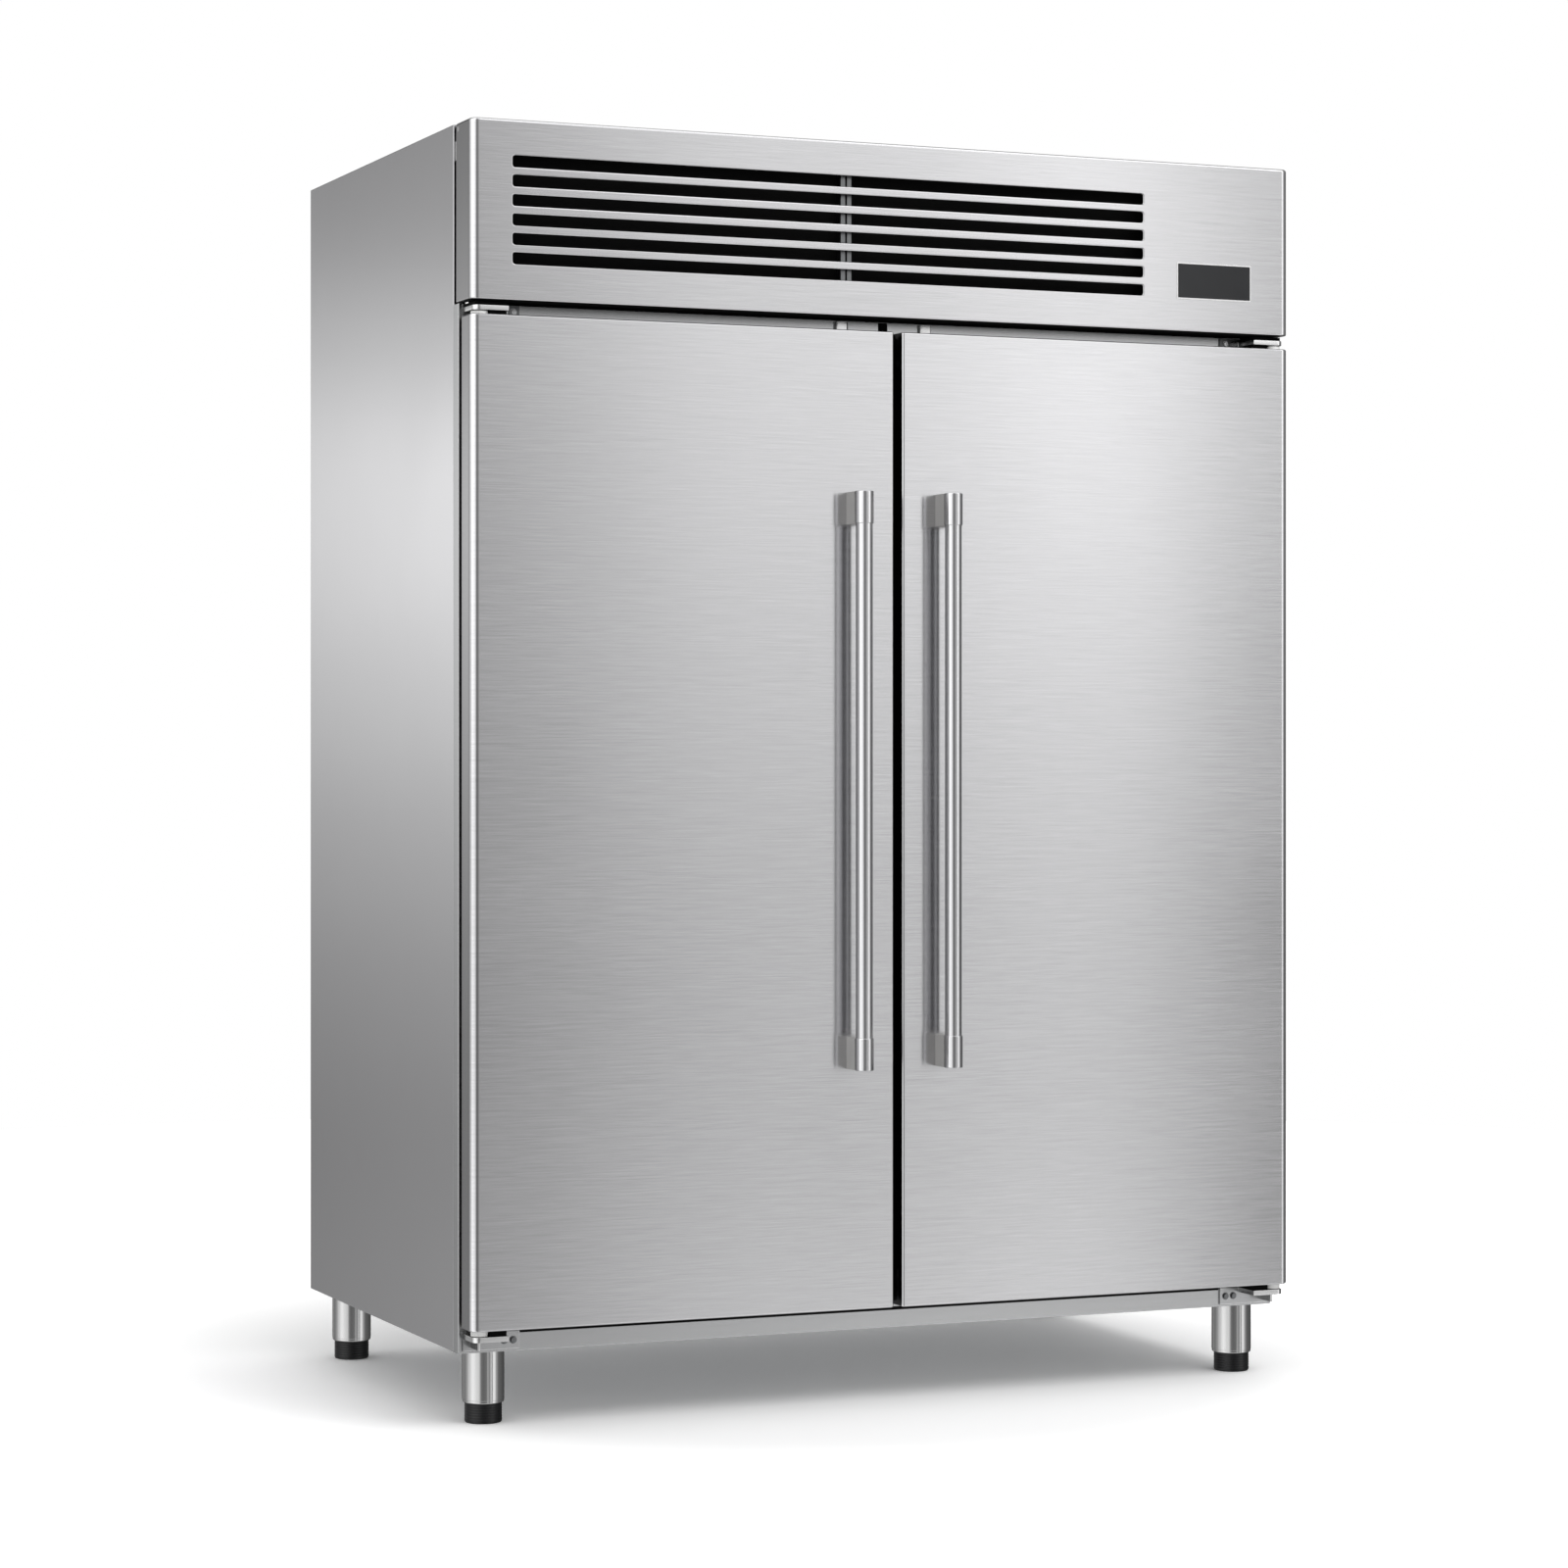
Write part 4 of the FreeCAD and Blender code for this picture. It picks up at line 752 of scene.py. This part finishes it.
def air_filter():
    """Dark filter mat across the back of the strap, behind all the slots; its near-black colour is painted
    shade for the dark inside the slots.
    """
    strap_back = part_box("grille_strap")[1].y
    low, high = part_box("fascia_panel")
    left_margin, right_margin, under, over, thick = 0.020, 0.024, 0.003, 0.030, 0.010
    shade_block("air_filter", "fascia_flap", "fan_plastic",
         (low.x + left_margin, strap_back, low.z + under),
         (high.x - right_margin, strap_back + thick, high.z - over), 0.0006)


def shade_strips():
    """Painted shade: black strips under the fascia's lower fold and on top of the front frame, for the
    shade in the gap above the doors.
    """
    low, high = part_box("fascia_panel")
    margin, front, back, thick = 0.016, 0.003, 0.029, 0.0014
    shade_block("fold_seal", "fascia_flap", "gasket_rubber",
         (low.x + margin, low.y + front, low.z - thick), (high.x - margin, low.y + back, low.z), 0.0004)
    low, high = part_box("front_frame")
    margin, front, back, thick = 0.022, 0.002, 0.004, 0.014
    shade_block("draught_seal", "cabinet", "gasket_rubber",
         (low.x + margin, low.y + front, high.z), (high.x - margin, high.y - back, high.z + thick), 0.0008)


class FREEZER_OT_doors(bpy.types.Operator):
    """Dresses both doors"""

    bl_idname = "freezer.doors"
    bl_label = "Doors"

    def execute(self, context):
        for side in ("left", "right"):
            low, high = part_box(side + "_door_skin")
            dressed(side + "_door_skin", outer_rim(low.z, high.z), 0.0028)
            for part in ("_door_core", "_door_back", "_door_bushes", "_door_gasket"):
                dressed(side + part)
        return {"FINISHED"}


class FREEZER_OT_handles(bpy.types.Operator):
    """Models the long tubular handles"""

    bl_idname = "freezer.handles"
    bl_label = "Handles"

    def execute(self, context):
        sizes = context.scene.freezer_sizes
        for side in ("left", "right"):
            low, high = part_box(side + "_handle_bar")
            x, y, radius = (low.x + high.x) / 2, (low.y + high.y) / 2, (high.x - low.x) / 2
            tube = bar(side + "_handle_tube", radius, (x, y, low.z), (x, y, high.z), sizes.round_sides)
            # The doubled ring in each end face holds the rounding of its rim to 0.2 mm
            shape(tube, "FACE", lambda f: abs(f.normal.z) > 0.9)
            bpy.ops.mesh.inset(thickness=0.002)
            bpy.ops.mesh.extrude_region_move(TRANSFORM_OT_translate={"value": (0, 0, 0)})
            bpy.ops.object.mode_set(mode="OBJECT")
            softened(tube, 0.0004)
            fixed(tube, side + "_door", "handle_steel", side + "_handle_bar")
            sleeves(side, x, y, sizes.round_sides)
        return {"FINISHED"}


def sleeves(side, x, y, sides):
    """The closed sleeves over the tube's ends and their square posts."""
    node = side + "_handle_brackets"
    low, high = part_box(node)
    radius = y - low.y
    tall, half = 0.050, 0.0125
    ends, posts = [], []
    for bottom in (low.z, high.z - tall):
        sleeve = bar("sleeve", radius, (x, y, bottom), (x, y, bottom + tall), sides)
        softened(sleeve, 0.0012, 3)
        post = block("post", (x - half, y, bottom), (x + half, high.y, bottom + tall))
        softened(post, 0.0008, 3)
        ends.append(sleeve)
        posts.append(post)
    fixed(joined(side + "_handle_sleeves", *ends), side + "_door", "handle_steel", node)
    fixed(joined(side + "_handle_posts", *posts), side + "_door", "handle_steel", node, look="post_steel")


def bolt(place, way, radius, height):
    """Hexagon bolt head on its washer, with its back on a face."""
    place, way = Vector(place), Vector(way)
    washer = bar("washer", radius * 1.3, place, place + way * height * 0.25, 24)
    head = bar("head", radius, place, place + way * height, 6)
    for piece in (washer, head):
        softened(piece, radius * 0.08)
    return joined("bolt", head, washer)


def hinge_shade_blocks(node, low, high, frame_face):
    """Painted shade: black blocks that fill the slots over and under a hinge plate, behind the pin."""
    door_low, door_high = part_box("left_door_skin")
    plate, pin_side, clear, reach = 0.008, 0.027, 0.0015, 0.054
    if node == "top_hinges":
        plate_z = door_high.z + 0.006
        rows = [(0.004, plate_z + plate, high.z - 0.0006), (pin_side, door_high.z + clear, plate_z)]
    else:
        rows = [(pin_side, door_low.z - 0.009, door_low.z - clear)]
    pads = []
    for side in (-1, 1):
        for start, bottom, top in rows:
            left, right = sorted((side * (high.x - start), side * (high.x - reach)))
            pad = block("pad", (left, low.y + 0.006, bottom), (right, frame_face - 0.003, top))
            pads.append(softened(pad, 0.0005))
    fixed(joined(node + "_pads", *pads), "cabinet", "gasket_rubber", look="shade_black")


def cover_sheets(node, low, high, frame_face):
    """The thin sheets behind a pair of hinge plates, and the bolts that hold them."""
    sheet, gap, wide, plate = 0.0032, 0.0005, 0.090, 0.056
    bottom, top = low.z + gap, low.z + 0.0265
    if node == "top_hinges":
        bottom, top = low.z + 0.0205, high.z - gap
    covers, heads = [], []
    for side in (-1, 1):
        outer, inner = side * high.x, side * (high.x - wide)
        cover = block("cover", (min(outer, inner), frame_face - sheet, bottom),
                      (max(outer, inner), frame_face - gap, top))
        covers.append(softened(cover, 0.0006))
        for share in (0.30, 0.72):
            place = (inner + side * (wide - plate) * share, frame_face - sheet, (bottom + top) / 2)
            heads.append(bolt(place, (0, -1, 0), 0.0045, 0.0035))
    return covers, heads


class FREEZER_OT_hinges(bpy.types.Operator):
    """Dresses the hinges and adds their cover sheets, bolts and black blocks of painted shade"""

    bl_idname = "freezer.hinges"
    bl_label = "Hinges"

    def execute(self, context):
        frame_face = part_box("front_frame")[0].y
        for node in ("top_hinges", "bottom_hinges"):
            low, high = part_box(node)
            dressed(node, edge=0.0012)
            covers, heads = cover_sheets(node, low, high, frame_face)
            # Black blocks of painted shade round the hinge plates
            hinge_shade_blocks(node, low, high, frame_face)
            # Covers and bolts take the darker steels of painted shade, swapped at the bottom hinges
            cover_look, bolt_look = "shaded_strap_steel", "shaded_frame_steel"
            if node == "bottom_hinges":
                cover_look, bolt_look = bolt_look, cover_look
            fixed(joined(node + "_covers", *covers), "cabinet", "hinge_steel", look=cover_look)
            fixed(joined(node + "_bolts", *heads), "cabinet", "hinge_steel", look=bolt_look)
        return {"FINISHED"}


def leg_profile(bottom, top):
    """A leg's (radius, height) pairs: down its inside, round its rolled rim and up its outside."""
    radius, wall, inside, groove = 0.032, 0.003, 0.028, 0.0004
    return [(radius - wall, bottom + inside), (radius - wall, bottom), (radius - 0.0012, bottom),
            (radius - groove, bottom + 0.001), (radius - groove, bottom + 0.004),
            (radius, bottom + 0.0045), (radius, top)]


def foot_profile(radius, top):
    """A foot's (radius, height) pairs: its rounded base, six ribs, its shoulder and its stem."""
    base = [(radius - 0.003, 0.0), (radius - 0.0012, 0.0006), (radius - 0.0003, 0.002), (radius, 0.004)]
    groove, stem, stem_tall = 0.0006, 0.008, 0.051
    ribs = []
    for i in range(6):
        z = 0.006 + i * 0.004
        ribs += [(radius, z), (radius - groove, z + 0.0008), (radius - groove, z + 0.0016),
                 (radius, z + 0.0024)]
    shoulder = [(radius, top - 0.052), (radius - 0.001, top - stem_tall)]
    return base + ribs + shoulder + [(stem, top - stem_tall), (stem, top - 0.001), (0.007, top)]


class FREEZER_OT_legs(bpy.types.Operator):
    """Models the four legs and their feet"""

    bl_idname = "freezer.legs"
    bl_label = "Legs and feet"

    def execute(self, context):
        sides = context.scene.freezer_sizes.round_sides
        low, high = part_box("legs")
        legs = []
        for place in ("front_left", "front_right", "back_left", "back_right"):
            node = "foot_" + place
            foot_low, foot_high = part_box(node)
            x, y = (foot_low.x + foot_high.x) / 2, (foot_low.y + foot_high.y) / 2
            legs.append(turned("leg", leg_profile(low.z, high.z), x, y, sides))
            profile = foot_profile((foot_high.x - foot_low.x) / 2, foot_high.z)
            foot = shaded(turned(node + "_ribbed", profile, x, y, sides))
            fixed(foot, body_of[node], "foot_plastic", node)
        fixed(shaded(joined("leg_tubes", *legs)), "cabinet", "leg_steel", "legs")
        return {"FINISHED"}


class FREEZER_OT_machine(bpy.types.Operator):
    """Dresses the condensing unit above the cabinet"""

    bl_idname = "freezer.machine"
    bl_label = "Machine space"

    def execute(self, context):
        for node in ("condenser_coil", "condenser_shroud", "condenser_fan", "condenser_fan_motor",
                     "compressor", "refrigerant_pipes", "electrical_box", "condensate_tray"):
            dressed(node)
        return {"FINISHED"}


def fan_guard(x, z, front, back):
    """Round wire guard in front of a fan: rings, four spokes, a middle plate and its four feet."""
    rings = (0.0855, 0.068, 0.051, 0.034)
    wire, plate, spoke_start, foot_place = 0.0019, 0.018, 0.016, 0.0845
    y = front + wire + 0.0001
    pieces = []
    for radius in rings:
        deselect()
        bpy.ops.mesh.primitive_torus_add(major_radius=radius, minor_radius=wire, major_segments=72,
                                         minor_segments=10, location=(x, y, z),
                                         rotation=(math.radians(90), 0, 0))
        pieces.append(settle("ring"))
    hub = Vector((x, y + 2 * wire, z))
    for turn in range(4):
        angle = math.radians(45 + 90 * turn)
        way = Vector((math.cos(angle), 0, math.sin(angle)))
        pieces.append(bar("spoke", wire, hub + way * spoke_start, hub + way * rings[0], 12))
        tip = hub + way * foot_place
        pieces.append(bar("foot", wire, tip, Vector((tip.x, back, tip.z)), 12))
    pieces.append(softened(bar("middle", plate, (x, y - wire * 0.6, z), (x, y + 3 * wire, z), 40), 0.0008))
    return joined("guard", *pieces)


class FREEZER_OT_cold_air(bpy.types.Operator):
    """Dresses the evaporator under the roof of the liner and models its wire fan guards"""

    bl_idname = "freezer.cold_air"
    bl_label = "Evaporator"

    def execute(self, context):
        for node in ("evaporator_cover", "evaporator_coil", "drip_tray", "evaporator_fan_motors",
                     "evaporator_fan_left", "evaporator_fan_right"):
            dressed(node)
        low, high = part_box("fan_guards")
        guards = []
        for fan in ("evaporator_fan_left", "evaporator_fan_right"):
            fan_low, fan_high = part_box(fan)
            guards.append(fan_guard((fan_low.x + fan_high.x) / 2, (low.z + high.z) / 2, low.y, high.y))
        guards = joined("wire_guards", *guards)
        fixed(shaded(guards), "cabinet", "guard_wire", "fan_guards")
        cover_low, cover_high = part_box("evaporator_cover")
        left, right, corner, second = cover_low.x, cover_high.x, 0.012, 0.14
        places = [(x, high.y, z) for z in (low.z + 0.010, high.z - 0.010)
                  for x in (left + corner, left + second, 0.0, right - second, right - corner)]
        screw_heads("cover_screws", places, (0, -1, 0), 0.0022)
        return {"FINISHED"}


def wire_shelf(low, high, wire):
    """One shelf: a rim rod with rounded corners, long wires and two braces under them."""
    rod, brace, brace_drop, brace_inset, wires = 0.003, 0.006, 0.006, 0.2, 25
    level = high.z - rod
    x, y = (low.x + high.x) / 2, (low.y + high.y) / 2
    deselect()
    bpy.ops.mesh.primitive_plane_add(size=1, location=(x, y, level))
    rim = settle("rim")
    bpy.ops.transform.resize(value=(high.x - low.x - 2 * rod, high.y - low.y - 2 * rod, 1),
                             center_override=(x, y, level))
    shape(rim, "VERT")
    bpy.ops.mesh.bevel(offset=0.018, segments=6, affect="VERTICES")
    bpy.ops.mesh.select_all(action="SELECT")
    bpy.ops.mesh.delete(type="ONLY_FACE")
    bpy.ops.object.mode_set(mode="OBJECT")
    bpy.ops.object.convert(target="CURVE")
    rim = bpy.context.object
    rim.data.bevel_depth = rod
    rim.data.bevel_resolution = 2
    bpy.ops.object.convert(target="MESH")
    pieces = [settle("rim")]
    for i in range(wires):
        at = low.x + 2 * rod + (high.x - low.x - 4 * rod) * (i + 0.5) / wires
        pieces.append(bar("wire", wire / 2, (at, low.y + rod, level - rod + wire / 2),
                          (at, high.y - rod, level - rod + wire / 2), 8))
    brace_level = high.z - brace_drop - brace / 2
    for at in (low.y + brace_inset, high.y - brace_inset):
        pieces.append(bar("brace", brace / 2, (low.x + rod, at, brace_level),
                          (high.x - rod, at, brace_level), 12))
    return joined("shelf", *pieces)


class FREEZER_OT_shelves(bpy.types.Operator):
    """Dresses the shelf posts and clips and models the wire shelves"""

    bl_idname = "freezer.shelves"
    bl_label = "Shelves"

    def execute(self, context):
        wire = context.scene.freezer_sizes.shelf_wire
        for node in ("shelf_posts", "shelf_clips"):
            dressed(node)
        for node in ("shelves_left", "shelves_right"):
            low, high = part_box(node)
            thick = 0.012
            pitch = (high.z - low.z - thick) / 2
            first = wire_shelf(low, Vector((high.x, high.y, low.z + thick)), wire)
            shelves = [first]
            for level in (1, 2):
                pick(first)
                bpy.ops.object.duplicate(linked=False)
                bpy.ops.transform.translate(value=(0, 0, level * pitch))
                shelves.append(settle("shelf"))
            fixed(shaded(joined(node + "_wires", *shelves)), "cabinet", "shelf_coating", node)
        return {"FINISHED"}


class FREEZER_PT_parts(bpy.types.Panel):
    """Lists the freezer's pieces, sizes and colours"""

    bl_label = "Freezer"
    bl_idname = "FREEZER_PT_parts"
    bl_space_type = "VIEW_3D"
    bl_region_type = "UI"
    bl_category = "Freezer"

    def draw(self, context):
        for values in (context.scene.freezer_sizes, context.scene.freezer_finishes):
            for key in values.__annotations__:
                self.layout.prop(values, key)
        for step in steps:
            self.layout.operator(step.bl_idname)


steps = [FREEZER_OT_stage, FREEZER_OT_finishes, FREEZER_OT_cabinet, FREEZER_OT_fascia, FREEZER_OT_doors,
         FREEZER_OT_handles, FREEZER_OT_hinges, FREEZER_OT_legs, FREEZER_OT_machine, FREEZER_OT_cold_air,
         FREEZER_OT_shelves]
classes = [FreezerSizes, FreezerFinishes] + steps + [FREEZER_PT_parts]


def register():
    for made in classes:
        bpy.utils.register_class(made)
    bpy.types.Scene.freezer_sizes = PointerProperty(type=FreezerSizes)
    bpy.types.Scene.freezer_finishes = PointerProperty(type=FreezerFinishes)


def unregister():
    del bpy.types.Scene.freezer_finishes
    del bpy.types.Scene.freezer_sizes
    for made in reversed(classes):
        bpy.utils.unregister_class(made)


def main():
    register()
    for step in steps:
        area, name = step.bl_idname.split(".")
        getattr(getattr(bpy.ops, area), name)()


if __name__ == "__main__":
    main()
